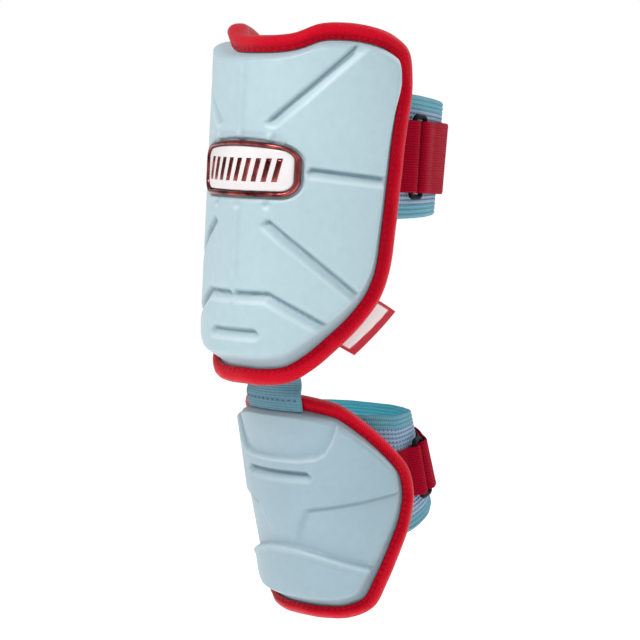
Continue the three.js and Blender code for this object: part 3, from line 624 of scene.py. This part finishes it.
def twisted(finish, low, high):
    """Colours a thread in fine streaks from low to high."""
    coloured(finish, between(finish, grain(finish, 2400.0), low, high))


thread = new_finish("sewing_thread", 0.5, Specular_Tint=(1.0, 0.1, 0.14, 1.0))
twisted(thread, (0.46, 0.0, 0.012), (0.74, 0.002, 0.026))
raised(thread, grain(thread, 3500.0), 0.00006)


def stitch_row(name, finish, centres, ways, out, length, width):
    """Thread stitches as flattened beads: an ellipsoid of 8 by 6 points, stretched along the seam,
    one copy for each centre, way and outward direction. All in millimetres."""
    around = np.linspace(0, 2 * np.pi, 8, endpoint=False)
    along = np.linspace(-1, 1, 7)
    radius = np.sqrt(np.clip(1 - along**4, 0.02, 1))
    aside = np.cross(ways, out)
    ring = (
        along[None, :, None, None] * (length / 2) * ways[:, None, None, :]
        + (radius[:, None] * np.cos(around))[None, ..., None] * (width / 2) * aside[:, None, None, :]
        + (radius[:, None] * np.sin(around))[None, ..., None] * (width / 4) * out[:, None, None, :]
    )
    points = (centres[:, None, None, :] + ring).reshape(len(centres), -1, 3)
    tube = grid_faces(7, 8, wrap_cols=True)
    first = np.array([[0, 1, 2, 3], [0, 3, 4, 7], [4, 5, 6, 7]])
    caps = np.concatenate([first[:, ::-1], first + 48])
    one = np.concatenate([tube, caps])
    quads = (one[None] + 56 * np.arange(len(centres))[:, None, None]).reshape(-1, 4)
    return make_piece(name, points, quads, finish)


def unit(v):
    """Directions of length 1."""
    return v / np.linalg.norm(v, axis=-1, keepdims=True)


tape_section = np.array(
    [(9.0, 2.5), (8.9, 3.1), (8.2, 3.55), (7.5, 3.45), (6.6, 4.0), (5.2, 4.55), (3.6, 4.65), (2.0, 4.2),
     (0.8, 3.1), (0.2, 1.4), (0.05, -0.6), (0.2, -2.4), (0.9, -3.9), (2.2, -4.7), (4.0, -4.9),
     (6.2, -4.7), (7.5, -4.35), (8.2, -4.5), (8.9, -4.2), (9.0, -3.6), (5.2, -3.5), (1.5, -3.45),
     (1.28, -2.0), (1.28, 1.0), (1.5, 2.35), (5.2, 2.4)]
)
section_cover, section_bend = 9.0, 2.0
front_seam, rear_seam, tape_inner = 3.5, -4.5, 2.45


def tape(guard, stations, pitch):
    """A closed channel: the section above swept round the outline, with a pucker at each stitch and
    a soft wave along the way."""
    fine = 8.0 * np.arange(stations * 8) / (stations * 8)
    length = running_length(guard.edge(fine, 0.0))
    round_it = length[-1]
    along = np.linspace(0, round_it, stations, endpoint=False)
    even = np.interp(along, length, fine)
    inset, lift = tape_section.T
    narrower = (guard.cover - section_bend) / (section_cover - section_bend)
    inset = np.where(inset > section_bend, section_bend + (inset - section_bend) * narrower, inset)
    seam = section_bend + 5.3 * narrower
    pulls = round(round_it / pitch)
    beat = 2 * np.pi * along / round_it
    pucker = (0.5 + 0.5 * np.cos(beat * pulls))[:, None]
    soft = (0.22 * np.sin(beat * 17 + 1.0) + 0.16 * np.sin(beat * 29 + 0.4))[:, None]
    near = np.exp(-(((inset - seam) / 1.3) ** 2))
    faces = np.abs(lift) > tape_inner
    bulge = (1 - near) * np.exp(-(((inset - 4) / 3) ** 2)) * soft
    height = lift + np.sign(lift) * faces * (bulge - 0.28 * near * pucker)
    flat = np.stack([guard.edge(even, i) for i in inset], 1)
    points = guard.arch(flat[..., 0], flat[..., 1], height)
    quads = grid_faces(stations, len(inset), True, True)
    uv = grid_uv(along, running_length(np.stack([inset, lift], -1)))
    # Painted shade layer: darker along the stitch row on both faces and at the puckers.
    shade = np.clip(0.3 * near * faces + 0.1 * near * pucker, 0, 1)
    name = f"{guard.name}_binding_tape"
    piece = make_piece(name, points, quads, tape_cloth, uv, round_it, shade=shade)
    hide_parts(f"{guard.name}_binding")
    for side, name, level in ((1, "front", front_seam), (-1, "rear", rear_seam)):
        at = (np.arange(pulls) + 0.5) * round_it / pulls
        p, n = (guard.edge(np.interp(v % round_it, length, fine), seam) for v in (at, at + 0.6))
        here, there = guard.arch(p[:, 0], p[:, 1], level), guard.arch(n[:, 0], n[:, 1], level)
        out = unit(guard.arch(p[:, 0], p[:, 1], level + side) - here)
        ways = unit(there - here)
        row = stitch_row(f"{guard.name}_{name}_seam", thread, here, ways, out, pitch * 0.72, 0.62)


tape(upper, 720, 3.1)
tape(lower, 560, 3.1)


# Elastic bands: knitted elastic about 58 mm wide with raised ribs along it. Each end is sewn
# inside a flank and the band goes round behind the arm, narrower there because it is pulled.
elastic = new_finish(
    "ribbed_elastic", 0.85, Sheen_Weight=0.08, Sheen_Roughness=0.5, Specular_IOR_Level=0.25
)
yarn = coords_of(elastic, "UV")
loops = crossed(elastic, yarn, 300.0, 330.0)
teal = between(elastic, loops, (0.13, 0.36, 0.44), (0.24, 0.55, 0.63), 0.05, 0.85)
dots = crossed(elastic, yarn, 150.0, 162.0)
lilac = between(elastic, dots, (0.38, 0.50, 0.66), (0.10, 0.17, 0.34), 0.42, 0.62)
blue = blend_colours(elastic, layer_of(elastic, "heart"), teal, lilac)
blue = mottled(elastic, blue, yarn, 60.0, (0.88, 0.9, 0.92))
# Painted light: the band's inner face is mixed towards a bright cyan, standing for light falling on it.
inner_face_painted_light = sums(elastic, "MULTIPLY", layer_of(elastic, "inside"), 0.8)
blue = blend_colours(elastic, inner_face_painted_light, blue, (0.16, 0.86, 1.0, 1.0))
# Painted shade in the rib valleys from the shade layer.
blue = blend_colours(elastic, layer_of(elastic), blue, (0.06, 0.21, 0.31, 1.0))
coloured(elastic, blue)
raised(elastic, loops, 0.0003)
tape_gap, tape_thick, gap, web, band_half = 0.6, 1.3, 0.3, 1.2, 1.2
tape_back = lining_back - tape_gap


class Band:
    """A band's route in plan, in from one flank's edge, round behind the arm and back in."""

    lift = tape_back - tape_thick - gap - web - gap - band_half

    def __init__(self, guard, width, reach, flare, taper, heart, hold):
        self.guard, self.width, self.reach, self.flare, self.taper = guard, width, reach, flare, taper
        self.middle, self.hold = guard.foot + heart * guard.height, hold
        inset_line = guard.rim.points
        low, high = (int(share / 2 * len(inset_line)) for share in (guard.corners[0], 1.0))
        flankside = inset_line[low:high]
        edge = np.interp(-self.middle, -flankside[:, 1], flankside[:, 0])
        held = self.plan(np.array([edge - hold, edge - hold / 2, edge]))
        self.turn = held[2]
        angle = np.pi * np.arange(1, 10) / 10
        behind = np.stack([self.turn[0] * np.cos(angle), self.turn[1] + reach * np.sin(angle)], -1)
        self.line = Line(catmull(np.vstack([held, behind, held[::-1] * [-1, 1]]), False))

    def plan(self, across):
        """Places of the route across the arch, seen from above."""
        at = self.guard.arch(across, np.full(across.shape, self.guard.level), self.lift)
        return at[:, :2] - [0.0, self.guard.ridge]

    def point(self, plan, up):
        """A plan point at a height above the band's middle, set back by the lean and the flare."""
        z = self.middle + up
        behind = np.maximum(plan[..., 1] - self.turn[1], 0)
        y = plan[..., 1] + self.guard.ridge + self.guard.lean * (z - self.guard.level)
        y = y - self.flare * np.minimum(behind / self.reach, 1) * up
        return np.stack(np.broadcast_arrays(plan[..., 0], y, z - self.guard.lean * behind), -1)


upper_route = Band(upper, 58.0, 60.0, -0.06, 0.88, 0.632, 14.0)
lower_route = Band(lower, 59.0, 34.0, 0.2, 0.72, 0.63, 24.0)


def closed_strip(front, rear):
    """Points and quads of the closed strip between two grids face to face, capped at both ends."""
    steps, sides = front.shape[:2]
    near = np.arange(sides - 1)
    cap = np.stack([near, near + 1, 2 * sides - 2 - near, 2 * sides - 1 - near], -1)
    ends = cap[:, ::-1], cap + (steps - 1) * 2 * sides
    quads = np.concatenate([grid_faces(steps, 2 * sides, False, True), *ends])
    return np.concatenate([front, rear[:, ::-1]], 1), quads


def both(row):
    """A row for the front face, then the same backwards for the rear one."""
    return np.concatenate([row, row[::-1]])


def band(route, ribs):
    """A closed strip: across it the thickness follows a row of sine ribs between thin edges, along
    it the width narrows with the square of a sine."""
    steps, sides = 230, 157
    u = np.linspace(0, 1, steps)
    v = np.linspace(-0.5, 0.5, sides)
    narrow = 1 + (route.taper - 1) * np.sin(np.pi * u) ** 2
    crest = 0.5 - 0.5 * np.cos(2 * np.pi * (v + 0.5) * ribs)
    edge = np.clip((0.5 - np.abs(v)) / 0.022, 0, 1) ** 0.5
    thick = (0.8 + 0.34 * crest**0.7) * (0.35 + 0.65 * edge)
    distance = u * route.line.length
    wave, ripple = 0.22 * np.sin(u * 37.0)[:, None], 0.12 * np.sin(u * 83.0)[:, None]
    slack = (wave * np.sin(v * 9.0)[None, :] + ripple) * np.sin(np.pi * u)[:, None]
    sheets = []
    for face in (1, -1):
        offset = face * thick[None, :] + slack
        base = route.line.at(distance)
        ahead = route.line.at(distance, 1.0) - base
        plan = base[:, None, :] + ahead[:, None, :] * offset[..., None]
        sheets.append(route.point(plan, v[None, :] * route.width * narrow[:, None]))
    points, quads = closed_strip(*sheets)
    across = both(v) * route.width
    rows = {
        # Layers: painted shade in the rib valleys (half as strong on the inner face), the inner face
        # that takes the painted light, and the lilac middle zone.
        "shade": both(1 - crest) ** 2.2 * 0.75 * np.repeat([1.0, 0.5], sides),
        "inside": np.repeat([0.0, 1.0], sides),
        "heart": 1 - step(0.37, 0.40, np.abs(across) / route.width),
    }
    layers = {name: np.broadcast_to(row, (steps, 2 * sides)) for name, row in rows.items()}
    name = route.guard.name
    uv = grid_uv(distance, across)
    piece = make_piece(f"{name}_elastic_band", points, quads, elastic, uv, **layers)
    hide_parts(f"{name}_band")


def sewn_line(name, route, finish, slot, along, up, offset):
    """Stitches 2.6 mm apart along a run of (along, up) corners, at that offset from the route; a
    negative offset lies on the arm's side."""
    corners = np.stack([along, up], -1)
    line = Line(corners.astype(float))
    count = int(line.length / 2.6)
    at = (np.arange(count) + 0.5) * line.length / count
    flat, ahead = line.at(at), line.at(at + 0.3)
    ahead = np.where(at[:, None] + 0.3 > line.length, flat + (flat - line.at(at - 0.3)), ahead)
    places = (flat, offset), (ahead, offset), (flat, offset + np.sign(offset))
    here, there, out = (route.point(route.line.at(p[:, 0], o), p[:, 1]) for p, o in places)
    row = stitch_row(name, finish, here, unit(there - here), unit(out - here), 2.0, 0.6)


blue_thread = new_finish("blue_thread", 0.55, Specular_IOR_Level=0.3)
twisted(blue_thread, (0.10, 0.30, 0.40), (0.20, 0.46, 0.58))
for route in (upper_route, lower_route):
    half, far_end = route.width / 2 - 2.5, route.line.length
    for side, at in (("near", (2.2, 6.0)), ("far", (far_end - 2.2, far_end - 6.0))):
        along, up = np.take(at, [0, 0, 1, 1, 0]), np.array([-half, half, half, -half, -half])
        name = f"{route.guard.name}_band_{side}_sewing"
        sewn_line(name, route, blue_thread, "elastic", along, up, -band_half - 0.05)
band(upper_route, 26)
band(lower_route, 26)


# Webbing and pull straps: dark red woven webbing 33 and 23 mm wide. A short piece under the
# flank's edge holds the ring; the strap comes forward over the band, turns round the ring's far
# bar and goes back over itself.
warm = (1.0, 0.15, 0.2, 1.0)
webbing = new_finish("woven_webbing", 0.85, Specular_Tint=warm, Specular_IOR_Level=0.25)
weft = coords_of(webbing, "UV")


def laid(finish, coords, picks, cords, share):
    """Fine ribs along the strip with that share, and ribs across it with the rest, added up."""
    along = sums(finish, "MULTIPLY", twill(finish, coords, picks), share)
    over = sums(finish, "MULTIPLY", twill(finish, coords, cords, crosswise), 1 - share)
    return sums(finish, "ADD", along, over)


woven = laid(webbing, weft, 480.0, 270.0, 0.38)
dark_red = between(webbing, woven, (0.26, 0.0, 0.010), (0.43, 0.003, 0.026), 0.1, 0.9)
coloured(webbing, mottled(webbing, dark_red, weft, 70.0, (0.85, 0.85, 0.85)))
raised(webbing, woven, 0.00035)
wire = 2.4
under = band_half + gap + web / 2
fold = wire / 2 + gap + web / 2
ring_out = under + fold
over = ring_out + fold


def eased(start, end, steps, low, high):
    """Distances and offsets of a stretch whose offset follows an S from low to high."""
    t = np.linspace(0, 1, steps + 1)
    return np.stack([start + (end - start) * t, low + (high - low) * t * t * (3 - 2 * t)], -1)


def round_bar(bar, way):
    """Half a turn of the fold's radius round a bar, from outside to inside."""
    angle = np.linspace(0, np.pi, 13)[1:-1]
    return np.stack([bar + way * fold * np.sin(angle), ring_out + fold * np.cos(angle)], -1)


def strip(name, route, width, stops, node):
    """A flat strip of webbing: a rounded oblong section carried along the smoothed stops."""
    rough = np.array([route.line.at(d, o) for d, o in stops])
    way = Line(catmull(rough, False, 6))
    steps, sides = int(way.length / 0.55), 34
    distance = np.linspace(0, way.length, steps)
    centre = way.at(distance)
    normal = way.at(distance, 1.0) - centre
    v = np.linspace(-0.5, 0.5, sides)
    body = np.clip((0.5 - np.abs(v)) / 0.03, 0, 1) ** 0.5
    selvedge = 0.06 * np.exp(-(((np.abs(v) - 0.455) / 0.018) ** 2))
    thick = web / 2 * (0.4 + 0.6 * body) + selvedge - 0.02
    faces = []
    for face in (1, -1):
        plan = centre[:, None, :] + normal[:, None, :] * (face * thick)[None, :, None]
        faces.append(route.point(plan, (v * width)[None, :]))
    points, quads = closed_strip(*faces)
    piece = make_piece(name, points, quads, webbing, grid_uv(distance, both(v) * width))
    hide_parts(node)


def straps(route, width, ring_at, apart, free, sewn, bulge):
    """The short webbing round the ring's near bar, the strap round its far bar, and the sewing at
    both ends of the strap. Gives back how far along the band the near bar lies."""
    name, bar = route.guard.name, route.hold + ring_at
    settle = 11.0
    anchor = np.vstack([
        eased(route.hold - 8, route.hold, 4, under, under),
        eased(route.hold, bar, 7, under, over)[1:],
        round_bar(bar, 1),
        eased(bar, bar - ring_at * 0.4, 3, under, under),
    ])
    strip(f"{name}_ring_webbing", route, width, anchor, f"{name}_anchor_web")
    far = bar + apart
    over_strap = under + web + gap
    outer = eased(far, far + settle, 8, over, over_strap)
    outer[:, 1] += bulge * np.sin(np.pi * np.arange(9) / 8)
    pull = np.vstack([
        eased(far + free, far + settle, 14, over_strap, over_strap)[:-1],
        outer[::-1],
        round_bar(far, -1),
        eased(far, far + sewn, 18, under, under),
    ])
    strip(f"{name}_strap", route, width, pull, f"{name}_pull_strap")
    end, tip, half, on_top = far + sewn - 3.0, far + free - 3.0, width / 2 - 3.0, web / 2 + 0.05
    box = end - 9.0 * np.array([1, 0, 0, 1, 1, 0]), half * np.array([-1, -1, 1, 1, -1, 1])
    sewn_line(f"{name}_strap_sewing", route, thread, "webbing", *box, under + on_top)
    row = np.array([tip, tip]), np.array([-half, half])
    sewn_line(f"{name}_strap_tip_sewing", route, thread, "webbing", *row, over_strap + on_top)
    return bar


upper_strap, lower_strap, bars_apart = 33.0, 23.0, 7.5
upper_bar = straps(upper_route, upper_strap, 9.0, bars_apart, 70.0, 84.0, 0.0)
lower_bar = straps(lower_route, lower_strap, 4.5, bars_apart, 44.0, 56.0, 0.4)


# Rings: black moulded nylon of 2.4 mm round section with tight corners, loose in the folds of
# the webbing.
black = new_finish("black_nylon", 0.55, Specular_IOR_Level=0.1)
scuffs = grain(black, 900.0, 4.0)
coloured(black, between(black, scuffs, (0.003, 0.003, 0.004), (0.012, 0.012, 0.014), 0.35, 0.75))
raised(black, grain(black, 1600.0), 0.00004)


def ring(route, bar, apart, width):
    """A round wire carried round a rectangle with round corners, flat in the strap's plane."""
    start, end = route.line.at(bar, ring_out), route.line.at(bar + apart, ring_out)
    run = np.linalg.norm(end - start)
    along, centre = (end - start) / run, (start + end) / 2
    half_wide, half_long = run / 2, width / 2 + 3.0 - wire / 2
    corner = half_wide * 0.45
    roll = np.linspace(0, 2 * np.pi, 16, endpoint=False)
    angle = np.radians(np.concatenate([np.linspace(s, s + 90, 12) for s in (0, 90, 180, 270)]))
    wide = np.repeat([1, -1, -1, 1], 12) * (half_wide - corner)
    long = np.repeat([1, 1, -1, -1], 12) * (half_long - corner)
    radius = corner + wire / 2 * np.cos(roll)
    w = wide[:, None] + radius * np.cos(angle)[:, None]
    l = long[:, None] + radius * np.sin(angle)[:, None]
    out = wire / 2 * np.sin(roll)[None, :] + 0 * w
    side = np.array([along[1], -along[0]])
    plan = centre + along * w[..., None] + side * out[..., None]
    name = route.guard.name
    piece = make_piece(f"{name}_loop_ring", route.point(plan, l), grid_faces(48, 16, True, True), black)
    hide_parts(f"{name}_ring")


ring(upper_route, upper_bar, bars_apart, upper_strap)
ring(lower_route, lower_bar, bars_apart, lower_strap)


# Badge: a gloss white moulded plate in a dark red metallised rim, glued into the pocket on the
# nose. A row of plain slanted bars in the rim's finish stands on the plate.
gloss = new_finish("white_gloss_plate", 0.22, Coat_Weight=0.5, Coat_Roughness=0.08)
milk = grain(gloss, 60.0)
coloured(gloss, between(gloss, milk, (0.70, 0.66, 0.665), (0.77, 0.74, 0.745)))
raised(gloss, grain(gloss, 500.0), 0.00002)
metal = new_finish("dark_red_metallised", 0.2, Metallic=1.0)
streak = grain(metal, 130.0, 4.0)
coloured(metal, between(metal, streak, (0.07, 0.010, 0.012), (0.42, 0.09, 0.085), 0.36, 0.66))
raised(metal, grain(metal, 700.0), 0.00003)
plate_foot = upper.body - 1.9 + 0.45
plate_face = plate_foot + 1.6


def badge_outline(grow, count):
    """Evenly spaced points of the rounded rectangle grown by an offset, clockwise from the top."""
    half_w, half_h, r = badge_half[0] + grow, badge_half[1] + grow, badge_corner + grow
    bend = np.radians(np.linspace(90, 0, 24))
    top = np.stack([half_w - r + r * np.cos(bend), half_h - r + r * np.sin(bend)], -1)
    low = top[::-1] * [1, -1]
    loop = np.vstack([[0, half_h], top, low, low[::-1] * [-1, 1], top[::-1] * [-1, 1], [0, half_h]])
    line = Line(loop)
    return line.at(np.linspace(0, line.length, count, endpoint=False))


def badge_point(flat, lift):
    """A point of the flat badge on the nose, its upper half lower towards the ends."""
    across, up = flat[..., 0], flat[..., 1]
    return upper.arch(across, badge_z + up - np.maximum(up, 0) * badge_fall(across), lift)


def plate():
    """Rings from the plate's edge in to a slit at its centre, with a rounded edge, closed over both
    faces."""
    count = 160
    face = np.linspace(0.001, 0.985, 26) ** 0.8
    domed = plate_face - 0.35 * step(0.93, 1.0, face) + 0.1 * (1 - face)
    shares = np.concatenate([face, [1, 1, 0.66, 0.33, 0.02]])
    lifts = np.concatenate([domed, [plate_face - 0.7], [plate_foot] * 4])
    flat = badge_outline(0.0, count) * shares[:, None, None]
    points = badge_point(flat, lifts[:, None])
    ids = np.arange(1, count // 2 - 1)
    slit = np.stack([ids, ids + 1, count - ids - 1, count - ids], -1)
    last = (len(shares) - 1) * count
    quads = np.concatenate([grid_faces(len(shares), count, False, True), slit[:, ::-1], slit + last])
    piece = make_piece("badge_face", points, quads, gloss)
    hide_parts("badge_plate")


def rim():
    """A half-round bead between the plate and the pocket's wall, closed under itself."""
    count = 240
    profile = [(0.3, 0.0), (0.3, 1.2), (0.45, 1.9), (0.9, 2.3), (1.4, 2.45), (1.9, 2.3),
               (2.35, 1.8), (2.5, 1.1), (2.5, 0.0)]
    flat = np.stack([badge_outline(grow, count) for grow, _ in profile], 1)
    lift = plate_foot + np.array([up for _, up in profile])
    points = badge_point(flat, lift)
    piece = make_piece("badge_bead", points, grid_faces(count, len(profile), True, True), metal)
    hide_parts("badge_rim")


def slanted_bars():
    """Plain raised bars, equal and evenly spaced, each a small sheet with rounded long edges."""
    u, v = np.meshgrid(np.linspace(-1, 1, 9), np.linspace(-1, 1, 9))
    tops, quads, count = [], [], 0
    z = badge_z - 0.5 + v * 5.2
    crown = np.sqrt(np.clip(1 - np.abs(u) ** 3, 0, 1)) * np.sqrt(np.clip(1 - np.abs(v) ** 8, 0, 1))
    for k in range(9):
        across = (k - 4) * 4.2 + u * 1.05 + v
        faces = (upper.arch(across, z, plate_face + up) for up in (0.14 + 0.3 * crown, 0.06))
        points, faces = sheet_between(*faces, square_faces(9))
        tops.append(points)
        quads.append(faces + count)
        count += len(points)
    piece = make_piece("badge_bars", np.concatenate(tops), np.concatenate(quads), metal)


plate()
rim()
slanted_bars()


# Side label: woven, folded in two and caught under the tape at the flank's lower corner. Its pale
# field is left bare inside a red border.
woven_label = new_finish("woven_label", 0.6, Sheen_Weight=0.05, Specular_IOR_Level=0.25)
label_uv = coords_of(woven_label, "UV")
satin = crossed(woven_label, label_uv, 700.0, 700.0)
border = between(woven_label, satin, (0.50, 0.015, 0.035), (0.76, 0.035, 0.07), 0.1, 0.9)
field = between(woven_label, satin, (0.92, 0.85, 0.83), (1.0, 0.98, 0.96), 0.1, 0.9)
# On the label the layer named shade marks only the printed pale field inside the red border; it paints
# no shade.
coloured(woven_label, blend_colours(woven_label, layer_of(woven_label), border, field))
raised(woven_label, satin, 0.00016)
label_start, label_span, label_long, label_half = 0.705, 0.105, 28.0, 0.5


def label():
    """A thin curved sheet that follows the outline, rounded at its fold."""
    cols, rows = 61, 33
    t, v = np.meshgrid(np.linspace(0, 1, cols), np.linspace(0, 1, rows), indexing="ij")
    at = upper.rim.length * (label_start + label_span * t[:, 0]) / 2
    outward = upper.rim.at(at[0], -1.0) - upper.rim.at(at[0])
    rim = upper.rim.at(at)
    tucked, ends = rim - outward * 3.0, (rim[0] + outward * 17.0, rim[-1] + outward * 10.5)
    edge = ends[0] + (ends[1] - ends[0]) * t[:, :1]
    wide = np.linalg.norm(edge - tucked, axis=1)[:, None]
    flat = tucked[:, None] + (edge - tucked)[:, None] * v[..., None]
    curl = 0.5 * np.sin(np.pi * v) * np.sin(2.4 * t + 0.4)
    lift = tape_back - tape_thick - gap - label_half - 0.05 + curl
    half = label_half * np.sqrt(np.clip((1.0 - v) / 0.05, 0.02, 1))
    faces = (upper.arch(flat[..., 0], flat[..., 1], lift + side * half) for side in (1, -1))
    points, quads = sheet_between(*faces, grid_faces(cols, rows))
    field = step(0.045, 0.065, t) * (1 - step(0.935, 0.955, t))
    field = field * step(4.6, 5.0, (1 - v) * wide) * step(0.2, 0.22, v)
    uv, shade = sheet_uv(t * label_long, v * wide), np.concatenate([field.ravel()] * 2)
    piece = make_piece("woven_side_label", points, quads, woven_label, uv, shade=shade)
    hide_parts("side_label")
    flat = 0.0168, label_long / 1000.0


label()


# Elastic link: a 36 mm elastic that joins the guards. Sewn to the upper lining above its tape, it
# comes out under the tape and lies over the lower guard's tape, with one dark row of stitches.
link_cloth = new_finish("link_elastic", 0.86, Sheen_Weight=0.25)
link_uv = coords_of(link_cloth, "UV")
link_loops = laid(link_cloth, link_uv, 250.0, 380.0, 0.7)
dull = between(link_cloth, link_loops, (0.085, 0.228, 0.30), (0.105, 0.265, 0.345), 0.1, 0.9)
# Painted shade in the valleys between the ribs, from the shade layer.
dull = blend_colours(link_cloth, layer_of(link_cloth), dull, (0.05, 0.15, 0.205, 1.0))
coloured(link_cloth, dull)
raised(link_cloth, link_loops, 0.00016)
dark_thread = new_finish("link_thread", 0.6)
twisted(dark_thread, (0.035, 0.12, 0.15), (0.07, 0.19, 0.23))
link_wide, link_sewn, link_seam = 36.0, 29.0, -105.4


def link():
    """A strip whose lift from the arch follows a smooth curve down its length, with ribs along it."""
    thick, swing = 2.2, 9.0
    hem = -97.0
    top, low_top = hem + 24.0, -103.0
    up_lift = tape_back - thick / 2
    low_lift = flange + tape_gap + tape_thick * 1.5 + gap + thick / 2
    knots = (
        (upper, top, up_lift),
        (upper, top - 7.9, up_lift - swing * 0.12),
        (upper, top - 15.8, up_lift - swing * 0.55),
        (upper, hem, up_lift - swing),
        (lower, low_top, low_lift),
        (lower, low_top - lower.cover * 0.5, low_lift),
        (lower, low_top - lower.cover - 0.6, low_lift - 0.1),
    )
    rows, cols = 100, 85
    v = np.linspace(-0.5, 0.5, cols)
    across = v * link_wide
    ridge = np.array([g.arch(across * g.nose / (g.nose + lift), z, lift) for g, z, lift in knots])
    smooth = np.stack([catmull(ridge[:, k], False, 40) for k in range(cols)], 1)
    pick = np.linspace(0, len(smooth) - 1, rows).astype(int)
    middle = smooth[pick]
    down, side = np.gradient(middle, axis=0), np.gradient(middle, axis=1)
    out = unit(np.cross(down, side))
    out *= np.sign((out[..., 1:2] * -1).mean())
    crest = 0.5 - 0.5 * np.cos(2 * np.pi * (v + 0.5) * 14)
    edge = np.clip((0.5 - np.abs(v)) / 0.04, 0, 1) ** 0.5
    half = (0.94 + 0.1 * crest**0.7) * (0.4 + 0.6 * edge)
    out = out * half[None, :, None]
    points, quads = closed_strip(middle + out, middle - out)
    along = running_length(middle[:, cols // 2])
    uv = grid_uv(along, both(across))
    # Painted shade layer: darker in the rib valleys.
    shade = np.broadcast_to(both(1 - crest) ** 2 * 0.16, (rows, 2 * cols))
    piece = make_piece("link_elastic", points, quads, link_cloth, uv, shade=shade)
    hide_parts("elastic_link")
    at = ((np.arange(11) + 0.5) / 11 - 0.5) * link_sewn
    on_top = low_lift + thick / 2 + 0.02
    here, there = (lower.arch(at + ahead, link_seam, on_top) for ahead in (0.0, 0.5))
    outward = unit(lower.arch(at, link_seam, on_top + 1.0) - here)
    row = stitch_row("link_seam", dark_thread, here, unit(there - here), outward, 2.0, 0.8)


link()
